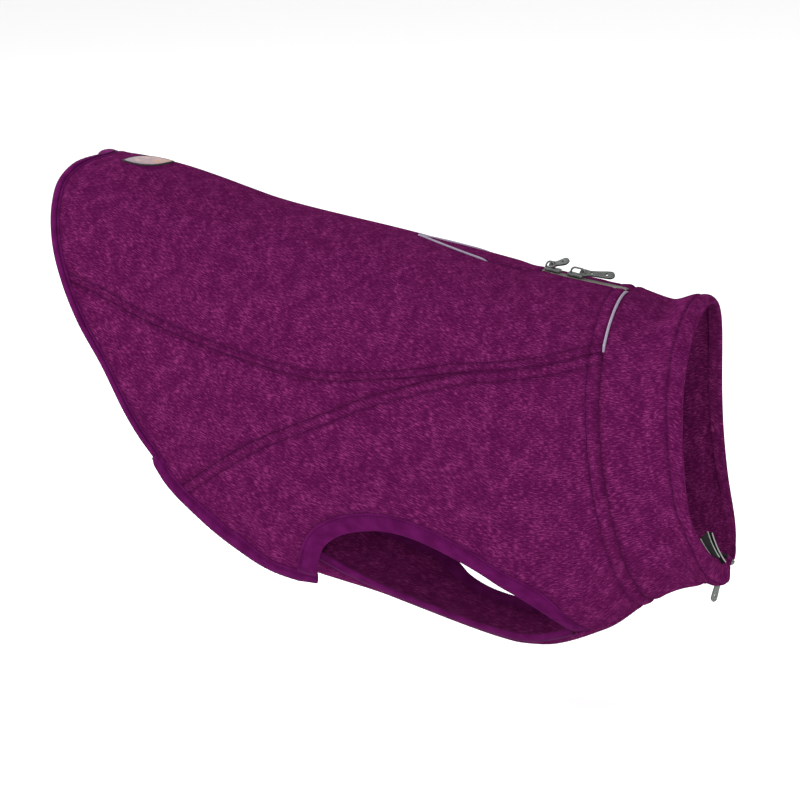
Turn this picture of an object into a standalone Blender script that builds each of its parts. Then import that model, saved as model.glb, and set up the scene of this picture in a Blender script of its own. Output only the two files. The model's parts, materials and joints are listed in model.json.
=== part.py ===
"""Dog sweater: a knit-fleece pullover, filled out with no wearer.

The dog faces +X, its right side is -Y and up is +Z. The origin is on the inside of the cloth at the
withers, where the centre back meets the collar seam. Tables are in millimetres; meshes are in metres.

Every cloth piece is cut from one worn surface. A place on it has two cloth coordinates:
  along: millimetres along the centre back, 0 at the collar seam, negative towards the tail
  share: share of the half girth, 0 at the centre back and 1 at the centre of the chest
"""

import math

import bpy
import bmesh
import numpy as np
from mathutils import Matrix, Vector

MM = 0.001
BACK_SLOPE = math.radians(11.0)  # the back falls towards the neck
WALL = 2.4  # knit fleece with its brushed inside
SEAM = 0.4  # clear width between two pieces at a seam
BAND_SEAM = 0.8  # clear width between a binding and the cloth it holds
HEM_BAND = 8.0
BELLY_BAND_STEP = 3.5  # the belly binding stands this far outside the tail binding
ARM_BAND = 14.0
STRAP_BAND = 12.0
BAND_SWELL = 0.5  # a folded binding is this much thicker than the cloth on each face
FLARE = 12.0  # the free belly corner of each side hangs this far off the strap
TUCK = 8.0  # the rear end of the strap lies this far inside the worn surface
RIM_HEM = 13.0  # depth of the turned hem at the neck
RIM_FOLD = 2.6  # the turned layer lies this far inside the outer one
PIPING_RADIUS = 1.3
RELIEF = 0.3  # clearance under whatever lies on a panel

ZIP_SLOT = 5.0  # half width of the opening that a closed zip fills
ZIP_TAPE = 1.0
COIL_HALF = 1.6
COIL_TOP = 0.6  # the coil's crown stands this far over the cloth
LEASH_ZIP = (-75.4, -1.8)  # along, from end to end
NECK_ZIP = (0.6, 66.0)
SLIDER = (14.0, 8.4, 2.6)  # length, width, height
BAR_HEIGHT = 1.3  # a pull tab turns on its inner bar, this far over the slider's body
BRIDGE_REACH = 3.5  # radius of the bridge about the bar
BRIDGE_WIRE = 0.65  # radius of its wire
TAB_WALL = 1.6
EYE = (2.1, 5.0, 1.3)  # start and end of a tab's eye from its axis, half width
NECK_SLIDER = 66.0  # along
NECK_TAB_LEAN = 14.0  # degrees
LABEL_SPAN = (-455.0, -413.0)
LABEL_HALF = 10.0
LABEL_WALL = 1.0
SIDES = {"left": 1, "right": -1}

# worn surface, one row for each station
# along, back height, chest along, chest height, half width, sides set back, back round, chest round, back dent
SECTIONS = np.array([
    (-505, 4.0, -505, -285, 57, 0, 0.09, 0.12, 5.0),
    (-435, 10.0, -435, -293, 60, 0, 0.10, 0.14, 4.0),
    (-395, 7.5, -395, -302, 61, 0, 0.10, 0.15, 1.5),
    (-295, 1.5, -288, -312, 63, 1, 0.10, 0.17, 1.0),
    (-195, 3.0, -163, -316, 65, 6, 0.10, 0.18, 1.0),
    (-105, 2.5, -24, -317, 66, 14, 0.10, 0.18, 2.0),
    (-45, 4.5, 42, -287, 67, 19, 0.09, 0.14, 3.5),
    (0, 6.5, 78, -248, 68, 20, 0.08, 0.10, 4.0),
    (33, 3.0, 109, -224, 69, 18, 0.08, 0.10, 2.0),
    (58, 12.5, 122, -215, 71, 15, 0.08, 0.12, 1.0),
    (70, 11.0, 131, -219, 71, 13, 0.08, 0.12, 1.0),
    (82, 8.0, 139, -217, 71, 12, 0.08, 0.12, 1.0),
])
DENT_SPREAD = 0.08  # share over which the dent along the centre back fades
THROAT_DENT = 21.0  # the zip draws the rim in by this much at the throat
THROAT_SPREAD = 0.045
RIM = 69.5  # along, at the rim's crest
RIM_DROP = {1: 4.0, -1: 9.0}  # the rim runs this much further forward beside the zip, on each side
RIM_NOTCH = 8.0  # and back by this much at the zip itself

# curves on the worn surface, each row: along, share
HEM_EDGE = [(-473, 0.0), (-474, 0.02), (-480, 0.06), (-491, 0.12), (-498, 0.19), (-497, 0.26),
            (-490, 0.335), (-472, 0.424), (-453, 0.484), (-422, 0.552), (-380, 0.645), (-364, 0.674),
            (-347, 0.711), (-316, 0.752), (-282, 0.792), (-252, 0.826), (-222, 0.826), (-206, 0.826)]
UPPER_SEAM = [(-475, 0.408), (-458, 0.415), (-401, 0.432), (-340, 0.439), (-280, 0.441),
              (-242, 0.439), (-196, 0.414), (-157, 0.384), (-126, 0.355), (-96, 0.335),
              (-53, 0.315), (0, 0.278)]
LOWER_SEAM = [(-356, 0.76), (-337, 0.709), (-310, 0.635), (-284, 0.577), (-253, 0.527),
              (-222, 0.482), (-195, 0.442), (-168, 0.408), (-138, 0.371), (-114, 0.347)]
ARM_EDGE = [(-220, 0.84), (-219, 0.80), (-218, 0.762), (-215, 0.731), (-206, 0.703), (-190, 0.680),
            (-175, 0.668), (-160, 0.666), (-145, 0.672), (-131, 0.682), (-106, 0.707), (-90, 0.730),
            (-78, 0.762), (-66, 0.820), (-61, 0.862)]
STRAP_EDGE_RIGHT = [(-256, 0.735), (-240, 0.752), (-220, 0.776), (-205, 0.800), (-190, 0.825), (-172, 0.846),
                    (-150, 0.853), (-123, 0.853), (-98, 0.850), (-78, 0.856), (-61, 0.862)]
# the strap is sewn in askew, so its left edge runs higher at the rear
STRAP_EDGE_LEFT = [(-256, 0.722), (-240, 0.735), (-220, 0.750), (-200, 0.762), (-180, 0.772), (-166, 0.783),
                   (-157, 0.805), (-149, 0.835), (-138, 0.852), (-123, 0.856), (-98, 0.851),
                   (-78, 0.856), (-61, 0.862)]
CHEST_SEAM = [(-61, 0.862), (-54, 0.885), (-36, 0.918), (0, 0.945)]
BAND_END = (-51, 0.892)  # where the inner line of the armhole binding meets the chest seam
LEAF_EDGE = [(-187, 0.0), (-165, 0.024), (-142, 0.041), (-118, 0.052), (-100, 0.052), (-86, 0.038),
             (-76, 0.0165)]
STRAP_HEM = -252  # along, rear edge of the strap

# cells of the faceted cloth
CELLS = {"centre": 15, "leaf": 7, "slot": 5, "joined": 19, "single": 8, "across": 8, "gusset": 6,
         "hem": 8, "arm": 14, "chest": 4, "strap": 4}


# ---------------------------------------------------------------- worn surface

def station(along, column):
    """One column of SECTIONS at any place along the back, with a curve that never overshoots."""
    x = SECTIONS[:, 0]
    y = SECTIONS[:, column]
    step = np.diff(x)
    slope = np.diff(y) / step
    tangent = np.zeros_like(y)
    tangent[0], tangent[-1] = slope[0], slope[-1]
    same_way = slope[:-1] * slope[1:] > 0
    low = 2 * step[1:] + step[:-1]
    high = step[1:] + 2 * step[:-1]
    safe_a = np.where(same_way, slope[:-1], 1.0)
    safe_b = np.where(same_way, slope[1:], 1.0)
    tangent[1:-1] = np.where(same_way, (low + high) / (low / safe_a + high / safe_b), 0.0)
    row = np.clip(np.searchsorted(x, along) - 1, 0, len(x) - 2)
    t = (along - x[row]) / step[row]
    return ((2 * t**3 - 3 * t**2 + 1) * y[row] + (t**3 - 2 * t**2 + t) * step[row] * tangent[row]
            + (3 * t**2 - 2 * t**3) * y[row + 1] + (t**3 - t**2) * step[row] * tangent[row + 1])


def ramp(value, start, end):
    t = np.clip((value - start) / (end - start), 0, 1)
    return t * t * (3 - 2 * t)


def bare_surface(along, share):
    """Outer face of the cloth, in the slope's own axes: along the back, across, square to the back."""
    back, chest_along, chest, half_width, set_back, back_round, chest_round, dent = (
        station(along, column) for column in range(1, 9))
    angle = np.pi * share
    lower = (1 - np.cos(angle)) / 2
    squareness = back_round + (chest_round - back_round) * lower
    y = half_width * (np.sin(angle) + squareness * np.sin(3 * angle)) / (1 - squareness)
    x = along + (chest_along - along) * lower - set_back * np.sin(angle)**2
    z = back + (chest - back) * lower - dent * np.exp(-(share / DENT_SPREAD)**2)
    z = z + THROAT_DENT * np.exp(-((1 - share) / THROAT_SPREAD)**2) * ramp(along, 15, 82)
    return np.stack([x, y, z], -1)


def tilted(points):
    cos, sin = math.cos(BACK_SLOPE), math.sin(BACK_SLOPE)
    x, y, z = points[..., 0], points[..., 1], points[..., 2]
    return np.stack([x * cos + z * sin, y, z * cos - x * sin], -1)


def outward(along, share):
    """Unit normal of the worn surface, pointing away from the hollow, on the side with y >= 0."""
    step_a, step_s = 0.5, 0.002
    across_a = bare_surface(along + step_a, share) - bare_surface(along - step_a, share)
    across_s = bare_surface(along, share + step_s) - bare_surface(along, share - step_s)
    normal = np.cross(across_a, across_s)
    return tilted(normal / np.linalg.norm(normal, axis=-1, keepdims=True))


SEAT = tilted(bare_surface(np.array(0.0), np.array(0.0))) - WALL * outward(np.array(0.0), np.array(0.0))


def cloth(along, share, lift=0.0, side=1):
    """Point in millimetres, lifted off the outer face. side is +1 on the dog's left, -1 on its right."""
    along, share = np.asarray(along, float), np.asarray(share, float)
    lift = np.asarray(lift, float)[..., None]
    points = tilted(bare_surface(along, share)) + outward(along, share) * lift - SEAT
    return points * np.array([1, side, 1])


def flare(along, share):
    """How far the free lower corner of a side stands off the worn surface."""
    return FLARE * ramp(share, 0.60, 0.84) * ramp(along, -400, -280) * (1 - ramp(along, -215, -150))


def strap_lift(along, share):
    """The strap's rear end is tucked inside the sides; forward of it the strap is on the surface."""
    return -TUCK * (1 - ramp(along, -200, -110)) * ramp(share, 0.5, 0.6)


# ---------------------------------------------------------------- curves on the worn surface

def girth(along, share):
    """Millimetres of girth to one unit of share."""
    ends = [bare_surface(np.asarray(along), np.asarray(share) + s) for s in (-0.002, 0.002)]
    return np.linalg.norm(ends[1] - ends[0], axis=-1) / 0.004


def lengths(curve):
    middle = (curve[1:] + curve[:-1]) / 2
    steps = np.diff(curve, axis=0)
    steps[:, 1] *= girth(middle[:, 0], middle[:, 1])
    return np.concatenate([[0], np.cumsum(np.hypot(steps[:, 0], steps[:, 1]))])


def fine_curve(rows, count=400):
    """A smooth curve through a table of places, as many close points."""
    rows = np.array(rows, float)
    at = lengths(rows)
    tangent = np.gradient(rows, at, axis=0)
    t = np.linspace(0, at[-1], count)
    row = np.clip(np.searchsorted(at, t) - 1, 0, len(at) - 2)
    step = (at[row + 1] - at[row])[:, None]
    u = (t[:, None] - at[row][:, None]) / step
    return ((2 * u**3 - 3 * u**2 + 1) * rows[row] + (u**3 - 2 * u**2 + u) * step * tangent[row]
            + (3 * u**2 - 2 * u**3) * rows[row + 1] + (u**3 - u**2) * step * tangent[row + 1])


def moved(curve, distance):
    """The curve moved sideways over the cloth, to the left of its run as seen in (along, girth)."""
    scale = girth(curve[:, 0], curve[:, 1])
    tangent = np.gradient(curve, axis=0)
    run_a, run_g = tangent[:, 0], tangent[:, 1] * scale
    size = np.hypot(run_a, run_g)
    return curve + distance * np.stack([-run_g / size, run_a / size / scale], -1)


def drawn_to(curve, target):
    """The curve with its last fifth eased over, so that it ends on the target."""
    t = np.linspace(0, 1, len(curve))[:, None]
    return curve + ramp(t, 0.8, 1.0) * (np.asarray(target) - curve[-1])


def crossing(first, second):
    """Index on each of two fine curves where they come nearest to each other."""
    gap = (first[:, None, :] - second[None, :, :]) * np.array([1, 450])
    nearest = np.argmin((gap**2).sum(-1))
    return divmod(nearest, len(second))


def even(curve, cells, start=0, end=None):
    """Positions at even spacing along a stretch of a fine curve, as fractional indices."""
    end = len(curve) - 1 if end is None else end
    at = lengths(curve[start:end + 1])
    return start + np.interp(np.linspace(0, at[-1], cells + 1), at, np.arange(len(at)))


def pick(curve, positions):
    index = np.arange(len(curve))
    return np.stack([np.interp(positions, index, curve[:, k]) for k in (0, 1)], -1)


def beside(curve, index, distance):
    """Place on a fine curve at a distance along it from one of its points."""
    at = lengths(curve)
    return pick(curve, [np.interp(at[index] + distance, at, np.arange(len(at)))])[0]


def straight(start, end, cells):
    return np.linspace(start, end, cells + 1)


def chained(*stretches):
    """Stretches joined end to end, each next one without its first point."""
    return np.concatenate([stretches[0]] + [s[1:] for s in stretches[1:]])


def patch(side_a, side_b, start, end, rounds=0):
    """Coons surface over four sides of cloth coordinates; rounds even out its inner points."""
    start, end = start.copy(), end.copy()
    start[0], start[-1], end[0], end[-1] = side_a[0], side_b[0], side_a[-1], side_b[-1]
    t = np.linspace(0, 1, len(side_a))[:, None, None]
    c = np.linspace(0, 1, len(start))[None, :, None]
    ruled = (1 - c) * side_a[:, None] + c * side_b[:, None] + (1 - t) * start[None] + t * end[None]
    corners = ((1 - t) * (1 - c) * side_a[0] + (1 - t) * c * side_b[0]
               + t * (1 - c) * side_a[-1] + t * c * side_b[-1])
    grid = ruled - corners
    for _ in range(rounds):
        grid[1:-1, 1:-1] = (grid[:-2, 1:-1] + grid[2:, 1:-1] + grid[1:-1, :-2] + grid[1:-1, 2:]) / 4
    return grid


# ---------------------------------------------------------------- Blender helpers

def collection(name):
    found = bpy.data.collections.new(name)
    bpy.context.scene.collection.children.link(found)
    return found


def material(name, colour, roughness, metallic=0.0):
    made = bpy.data.materials.new(name)
    made.use_nodes = True
    shader = made.node_tree.nodes["Principled BSDF"]
    shader.inputs["Base Color"].default_value = (*colour, 1)
    shader.inputs["Roughness"].default_value = roughness
    shader.inputs["Metallic"].default_value = metallic
    return made


def new_object(name, mesh, finish, group):
    made = bpy.data.objects.new(name, mesh)
    mesh.materials.append(finish)
    group.objects.link(made)
    return made


def grid_mesh(name, points, closed_across=False, capped=False):
    """Quads over a grid of points in millimetres; coincident points are merged."""
    rows, columns = points.shape[:2]
    index = np.arange(rows * columns).reshape(rows, columns)
    if closed_across:
        index = np.concatenate([index, index[:, :1]], axis=1)
    quads = np.stack([index[:-1, :-1], index[1:, :-1], index[1:, 1:], index[:-1, 1:]], -1)
    faces = quads.reshape(-1, 4).tolist()
    if capped:
        faces.append(index[0, :columns].tolist())
        faces.append(index[-1, :columns].tolist()[::-1])
    mesh = bpy.data.meshes.new(name)
    mesh.from_pydata((points.reshape(-1, 3) * MM).tolist(), [], faces)
    built = bmesh.new()
    built.from_mesh(mesh)
    bmesh.ops.remove_doubles(built, verts=built.verts, dist=2e-6)
    bmesh.ops.dissolve_degenerate(built, edges=built.edges, dist=1e-7)
    if capped:
        bmesh.ops.triangulate(built, faces=[f for f in built.faces if len(f.verts) > 4])
        bmesh.ops.recalc_face_normals(built, faces=built.faces)
        if built.calc_volume(signed=True) < 0:
            bmesh.ops.reverse_faces(built, faces=built.faces)
    built.to_mesh(mesh)
    built.free()
    mesh.shade_smooth()
    mesh.set_sharp_from_angle(angle=math.radians(40))
    return mesh


def facing_out(mesh, hint):
    """Turns an open sheet so that its faces point the way the hint does on the whole."""
    normals = np.array([p.normal for p in mesh.polygons])
    if (normals * hint).sum() < 0:
        mesh.flip_normals()


def thicken(piece, thickness):
    """The sheet is the middle of the wall."""
    solid = piece.modifiers.new("wall", "SOLIDIFY")
    solid.thickness = thickness * MM
    solid.offset = 0.0
    solid.use_even_offset = False


def mirrored(piece):
    both = piece.modifiers.new("both_sides", "MIRROR")
    both.use_axis = (False, True, False)
    both.merge_threshold = 0.00005
    both.use_clip = True


def panel(name, places, finish, group, side=1, lift=0.0, symmetric=False, thickness=WALL):
    """A cloth piece over a grid of places: its middle sheet with Solidify, mirrored if symmetric."""
    along, share = places[..., 0], places[..., 1]
    points = cloth(along, share, lift - thickness / 2, side)
    mesh = grid_mesh(name, points)
    hint = outward(along, share).reshape(-1, 3).mean(0) * np.array([1, side, 1])
    facing_out(mesh, hint)
    piece = new_object(name, mesh, finish, group)
    if symmetric:
        mirrored(piece)
    thicken(piece, thickness)
    return piece


def band(name, runs, finish, group, lift=None):
    """A folded binding between its free edge and the cloth: a flat section with a round free edge.
    Each run is (outer, inner, side); with two runs it goes on across the centre into the second."""
    thick = WALL + 2 * BAND_SWELL
    # share of the width from the free edge, height above the cloth's outer face
    section = [(0.0, -0.5 * WALL), (0.10, BAND_SWELL - 0.5), (0.35, BAND_SWELL), (1.0, BAND_SWELL),
               (1.0, BAND_SWELL - thick), (0.12, BAND_SWELL - thick + 0.3)]
    rings = []
    for outer, inner, side in runs:
        ring = []
        for width, height in section:
            place = outer + (inner - outer) * width
            raised = height + (0 if lift is None else lift(place[:, 0], place[:, 1]))
            ring.append(cloth(place[:, 0], place[:, 1], raised, side))
        rings.append(np.stack(ring, 1))
    points = rings[0] if len(rings) == 1 else np.concatenate([rings[0][::-1], rings[1][1:]])
    return new_object(name, grid_mesh(name, points, closed_across=True, capped=True), finish, group)


def ribbon(name, places_a, places_b, bottom, top, finish, group, side=1):
    """A thin strip between two runs of places, from one height over the cloth to another."""
    corners = [(places_a, bottom), (places_a, top), (places_b, top), (places_b, bottom)]
    ring = [cloth(p[:, 0], p[:, 1], height, side) for p, height in corners]
    points = np.stack(ring, 1)
    return new_object(name, grid_mesh(name, points, closed_across=True, capped=True), finish, group)


def tube(name, points, radius, finish, group, resolution=2):
    """A round cord: a poly curve with a bevel and filled caps, made a mesh and welded."""
    curve = bpy.data.curves.new(name, "CURVE")
    curve.dimensions = "3D"
    curve.bevel_depth = radius * MM
    curve.bevel_resolution = resolution
    curve.use_fill_caps = True
    spline = curve.splines.new("POLY")
    spline.points.add(len(points) - 1)
    for knot, point in zip(spline.points, points):
        knot.co = (*(point * MM), 1)
    made = bpy.data.objects.new(name, curve)
    made.data.materials.append(finish)
    group.objects.link(made)
    return made


# ---------------------------------------------------------------- cut lines shared by the pieces

class Cut:
    """Every seam and edge of one side, sampled once, so that neighbours share their points."""

    def __init__(self, strap_edge):
        half = SEAM / 2
        hem = fine_curve(HEM_EDGE)
        hem_cloth = moved(hem, -HEM_BAND)
        hem_inner = moved(hem, BAND_SEAM - HEM_BAND)
        for line in (hem_cloth, hem_inner):
            line[0, 1] = 0
        upper = fine_curve(UPPER_SEAM)
        lower = fine_curve(LOWER_SEAM)
        chest_seam = fine_curve(CHEST_SEAM)
        side_of_seam, chest_of_seam = moved(chest_seam, -half), moved(chest_seam, SEAM)
        arm = drawn_to(fine_curve(ARM_EDGE), side_of_seam[0])
        band_end = crossing(chest_seam, np.array([BAND_END]))[0]
        arm_cloth = drawn_to(moved(arm, -ARM_BAND), side_of_seam[band_end])
        strap = drawn_to(fine_curve(strap_edge), chest_of_seam[0])
        strap_cloth = moved(strap, STRAP_BAND)
        leaf = fine_curve(LEAF_EDGE)
        slot = ZIP_SLOT / girth(0.0, 0.0)

        # where the lines meet
        hem_upper, upper_hem = crossing(hem_cloth, upper)
        hem_lower, lower_hem = crossing(hem_cloth, lower)
        hem_arm, arm_hem = crossing(hem_cloth, arm_cloth)
        meeting = crossing(upper, lower[-1:])[0]
        strap_seam, seam_strap = crossing(strap_cloth, chest_of_seam)
        rear_line = straight((STRAP_HEM + HEM_BAND, 0.70), (STRAP_HEM + HEM_BAND, 1.0), 399)
        strap_rear = crossing(strap_cloth, rear_line)[0]

        # hems
        back_hem = even(hem_cloth, CELLS["across"], 0, hem_upper)
        gusset_hem = even(hem_cloth, CELLS["gusset"], hem_upper, hem_lower)
        side_hem = even(hem_cloth, CELLS["hem"], hem_lower, hem_arm)
        self.back_hem, self.gusset_hem = pick(hem_cloth, back_hem), pick(hem_cloth, gusset_hem)
        self.side_hem = pick(hem_cloth, side_hem)
        tail = np.concatenate([back_hem, gusset_hem[1:-1]])
        self.tail_band = pick(hem, tail), pick(hem_inner, tail)
        belly = np.concatenate([gusset_hem[-2:], side_hem[1:]])
        belly[0] += SEAM / lengths(hem)[-1] * (len(hem) - 1)
        edge_end, inner_end = crossing(hem, arm)[0], crossing(hem_inner, arm)[0]
        self.belly_band = (
            chained(pick(moved(hem, BELLY_BAND_STEP), belly), hem[edge_end - 1:edge_end + 1]),
            chained(pick(hem_inner, belly), hem_inner[inner_end - 1:inner_end + 1]))

        # seams of the sides
        joined = pick(upper, even(upper, CELLS["joined"], upper_hem, meeting))
        single = pick(upper, even(upper, CELLS["single"], meeting))
        below = pick(lower, even(lower, CELLS["joined"], lower_hem))
        whole = chained(joined, single)
        self.back_side = moved(whole, -half)
        self.gusset_upper, self.gusset_lower = moved(joined, half), moved(below, -half)
        tip = (self.gusset_upper[-2] + self.gusset_lower[-2]) / 2 * 0.35 + joined[-1] * 0.65
        self.gusset_upper[-1] = self.gusset_lower[-1] = tip
        self.front_upper = moved(chained(below, single), half)
        self.back_side[0] = beside(hem_cloth, hem_upper, -half)
        self.gusset_upper[0] = beside(hem_cloth, hem_upper, half)
        self.gusset_lower[0] = beside(hem_cloth, hem_lower, -half)
        self.front_upper[0] = beside(hem_cloth, hem_lower, half)

        # centre back: plain, then round the leaf, then along the zip
        self.leaf_tip, self.leaf_end = leaf[0, 0], leaf[-1, 0]
        leaf_line = pick(leaf, even(leaf, CELLS["leaf"]))
        outside, inside = moved(leaf_line, half), moved(leaf_line, -half)
        tip_gap = 2 * SEAM
        outside[0] = (self.leaf_tip - tip_gap, 0)
        inside[0] = (self.leaf_tip + tip_gap, 0)
        inside[-1, 0] -= half
        slot_line = straight((self.leaf_end, slot), (-half, slot), CELLS["slot"])
        outside[-1] = slot_line[0]
        centre = straight((self.back_hem[0, 0], 0), outside[0], CELLS["centre"])
        self.back_centre = chained(centre, outside, slot_line)
        self.leaf_side = inside
        self.leaf_piping = leaf_line

        # armhole and strap
        arm_line = even(arm_cloth, CELLS["arm"], arm_hem)
        arm_start = crossing(hem_cloth, arm)[1]
        self.arm_side = pick(arm_cloth, arm_line)
        self.arm_side[0] = self.side_hem[-1]
        self.arm_band = (pick(arm, even(arm, CELLS["arm"], arm_start)),
                         pick(moved(arm_cloth, BAND_SEAM), arm_line))
        shared = even(chest_seam, CELLS["chest"], max(band_end, seam_strap))
        self.front_seam = pick(side_of_seam, np.append(band_end, shared))
        self.chest_side = pick(chest_of_seam, np.append(seam_strap, shared))
        strap_line = even(strap_cloth, CELLS["arm"], strap_rear, strap_seam)
        self.strap_side = pick(strap_cloth, strap_line)
        self.strap_band = (pick(strap, even(strap, CELLS["arm"], strap_rear)),
                           pick(moved(strap_cloth, -BAND_SEAM), strap_line))
        rear = straight(self.strap_side[0], (STRAP_HEM + HEM_BAND, 1.0), CELLS["strap"])
        self.strap_rear = rear
        edge_share = strap[strap_rear, 1]
        inner = np.concatenate([rear[::-1], [(rear[0, 0], edge_share)]]) - np.array([BAND_SEAM, 0])
        outer = inner + np.array([BAND_SEAM - HEM_BAND, 0])
        self.strap_hem_band = outer, inner

        # collar seam, as the body's pieces meet it
        self.seam_back = straight((-half, slot), self.back_side[-1], CELLS["across"])
        self.seam_front = straight(self.front_upper[-1], self.front_seam[-1], CELLS["across"])
        self.seam_chest = straight(self.chest_side[-1], (-half, 1.0), CELLS["strap"])
        for line in (self.seam_back, self.seam_front, self.seam_chest, self.back_side[-1:],
                     self.front_upper[-1:], self.front_seam[-1:], self.chest_side[-1:]):
            line[:, 0] = -half


# ---------------------------------------------------------------- cloth pieces

def back_pieces(cut, finish, group):
    places = patch(cut.back_centre, cut.back_side, cut.back_hem, cut.seam_back)
    panel("back_panel", places, finish, group, symmetric=True)
    inset(cut, finish, group)
    return places


def inset(cut, finish, group):
    centre = straight(cut.leaf_side[0], (cut.leaf_side[-1, 0], 0), CELLS["leaf"])
    tip = np.repeat(cut.leaf_side[:1], 4, axis=0)
    end = straight(centre[-1], cut.leaf_side[-1], 3)
    panel("back_inset", patch(centre, cut.leaf_side, tip, end), finish, group, symmetric=True)


def side_pieces(cut, finish, group, side, name):
    tip = np.repeat(cut.gusset_upper[-1:], len(cut.gusset_hem), axis=0)
    places = patch(cut.gusset_upper, cut.gusset_lower, cut.gusset_hem, tip)
    lift = flare(places[..., 0], places[..., 1])
    panel("side_gusset_" + name, places, finish, group, side, lift)
    start = np.repeat(cut.front_upper[:1], len(cut.seam_front), axis=0)
    bottom = chained(cut.side_hem, cut.arm_side, cut.front_seam)
    bottom[0] = start[0]
    places = patch(cut.front_upper, bottom, start, cut.seam_front, rounds=60)
    lift = flare(places[..., 0], places[..., 1])
    panel("side_front_" + name, places, finish, group, side, lift)


def chest_piece(cuts, finish, group):
    """The strap and chest in one, from the right edge over the centre to the left edge."""
    halves = []
    for cut, side in ((cuts["right"], -1), (cuts["left"], 1)):
        edge = chained(cut.strap_side, cut.chest_side)
        centre = straight(cut.strap_rear[-1], cut.seam_chest[-1], len(edge) - 1)
        places = patch(edge, centre, cut.strap_rear, cut.seam_chest)
        lift = strap_lift(places[..., 0], places[..., 1]) - WALL / 2
        halves.append(cloth(places[..., 0], places[..., 1], lift, side))
    points = np.concatenate([halves[0], halves[1][:, ::-1][:, 1:]], axis=1)
    mesh = grid_mesh("chest_panel", points)
    facing_out(mesh, (0, 0, -1))
    thicken(new_object("chest_panel", mesh, finish, group), WALL)


def collar_piece(cut, finish, group):
    """A ring with a turned rim, open at the centre of the throat."""
    fold = -WALL - RIM_FOLD
    # share of the way from seam to rim, height over the outer face
    section = np.array([
        (0.003, 0), (0.16, 0), (0.36, 0), (0.58, 0), (0.76, 0.3), (0.91, 0.6), (0.978, -0.4),
        (1.0, -2.4), (0.978, -4.4), (0.92, fold), (1 - RIM_HEM / RIM, fold),
        (0.985 - RIM_HEM / RIM, -WALL), (0.36, -WALL), (0.003, -WALL)])
    way, share = np.meshgrid(section[:, 0], rim_columns(cut))
    halves = []
    for side in (1, -1):
        along = way * rim(share, side)
        share[-1] = 1 - ZIP_SLOT / girth(along[-1], 1.0)
        halves.append(cloth(along, share, np.broadcast_to(section[:, 1], along.shape), side))
    points = np.concatenate([halves[0][::-1], halves[1][1:]])
    mesh = grid_mesh("collar", points, closed_across=True, capped=True)
    new_object("collar", mesh, finish, group)


def rim_columns(cut):
    """Shares of the collar's columns, which meet the body's pieces point for point."""
    return np.concatenate([[0.0], cut.seam_back[1:, 1], cut.seam_front[1:, 1],
                           cut.seam_chest[1:, 1]])


def rim(share, side):
    """Where the rim's crest is, along."""
    return RIM + RIM_DROP[side] * ramp(share, 0.80, 0.93) - RIM_NOTCH * ramp(share, 0.95, 0.99)


def rim_strips(cut, tape, group):
    """The zip's folded end, tacked inside the rim on the right: its tape and its row of teeth.
    Both lie over the collar's own facets."""
    knots = rim_columns(cut)
    index = np.arange(len(knots))
    # corners of each section: past the crest, height over the outer face
    sections = (
        ("neck_zip_tape_end_right", (0.735, 0.825), ((-6, -5.4), (-6, -6.4), (4.5, -9.4), (4.5, -8.4))),
        ("neck_zip_coil_end_right", (0.725, 0.87), ((4.9, -8.3), (4.9, -9.7), (7.9, -10.6), (7.9, -9.2))))
    for name, shares, corners in sections:
        column = np.interp(np.linspace(*shares, 6), knots, index)
        ring = []
        for past, height in corners:
            line = cloth(rim(knots, -1) + past, knots, height, -1)
            ring.append(np.stack([np.interp(column, index, line[:, k]) for k in range(3)], -1))
        mesh = grid_mesh(name, np.stack(ring, 1), closed_across=True, capped=True)
        new_object(name, mesh, tape, group)


def bands(cuts, finish, group):
    right, left = cuts["right"], cuts["left"]
    band("tail_hem_binding", [(*left.tail_band, 1), (*right.tail_band, -1)], finish, group)
    band("strap_hem_binding", [(*left.strap_hem_band, 1), (*right.strap_hem_band, -1)],
         finish, group, strap_lift)
    for name, side in SIDES.items():
        cut = cuts[name]
        band("belly_hem_binding_" + name, [(*cut.belly_band, side)], finish, group, flare)
        band("armhole_binding_" + name, [(*cut.arm_band, side)], finish, group, flare)
        band("strap_binding_" + name, [(*cut.strap_band, side)], finish, group, strap_lift)


# ---------------------------------------------------------------- trims

def over(places, row, column, lift):
    """Points over the facets of a panel, at fractional rows and columns of its grid."""
    points = cloth(places[..., 0], places[..., 1], lift)
    row, column = np.broadcast_arrays(row, column)
    r = np.clip(row.astype(int), 0, points.shape[0] - 2)
    c = np.clip(column.astype(int), 0, points.shape[1] - 2)
    u, v = (row - r)[..., None], (column - c)[..., None]
    return ((1 - u) * (1 - v) * points[r, c] + u * (1 - v) * points[r + 1, c]
            + (1 - u) * v * points[r, c + 1] + u * v * points[r + 1, c + 1])


def label(back_places, finish, group):
    """A bare lens-shaped patch across the centre back near the hem."""
    rows = np.interp(np.linspace(*LABEL_SPAN, 9), back_places[:, 0, 0], np.arange(len(back_places)))
    t = np.linspace(-1, 1, 9)
    half = np.maximum(LABEL_HALF * (1 - t**2), 0.6) / girth(-434.0, 0.0)
    columns = half / (back_places[:, 1, 1].mean())
    across = columns[:, None] * np.linspace(0, 1, 4)
    points = over(back_places, rows[:, None], across, RELIEF + LABEL_WALL / 2)
    mesh = grid_mesh("label_patch", points)
    facing_out(mesh, (0, 0, 1))
    piece = new_object("label_patch", mesh, finish, group)
    mirrored(piece)
    thicken(piece, LABEL_WALL)


def both_sides(places, height):
    left = cloth(places[:, 0], places[:, 1], height, 1)
    right = cloth(places[:, 0], places[:, 1], height, -1)
    return left[::-1], right


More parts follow.
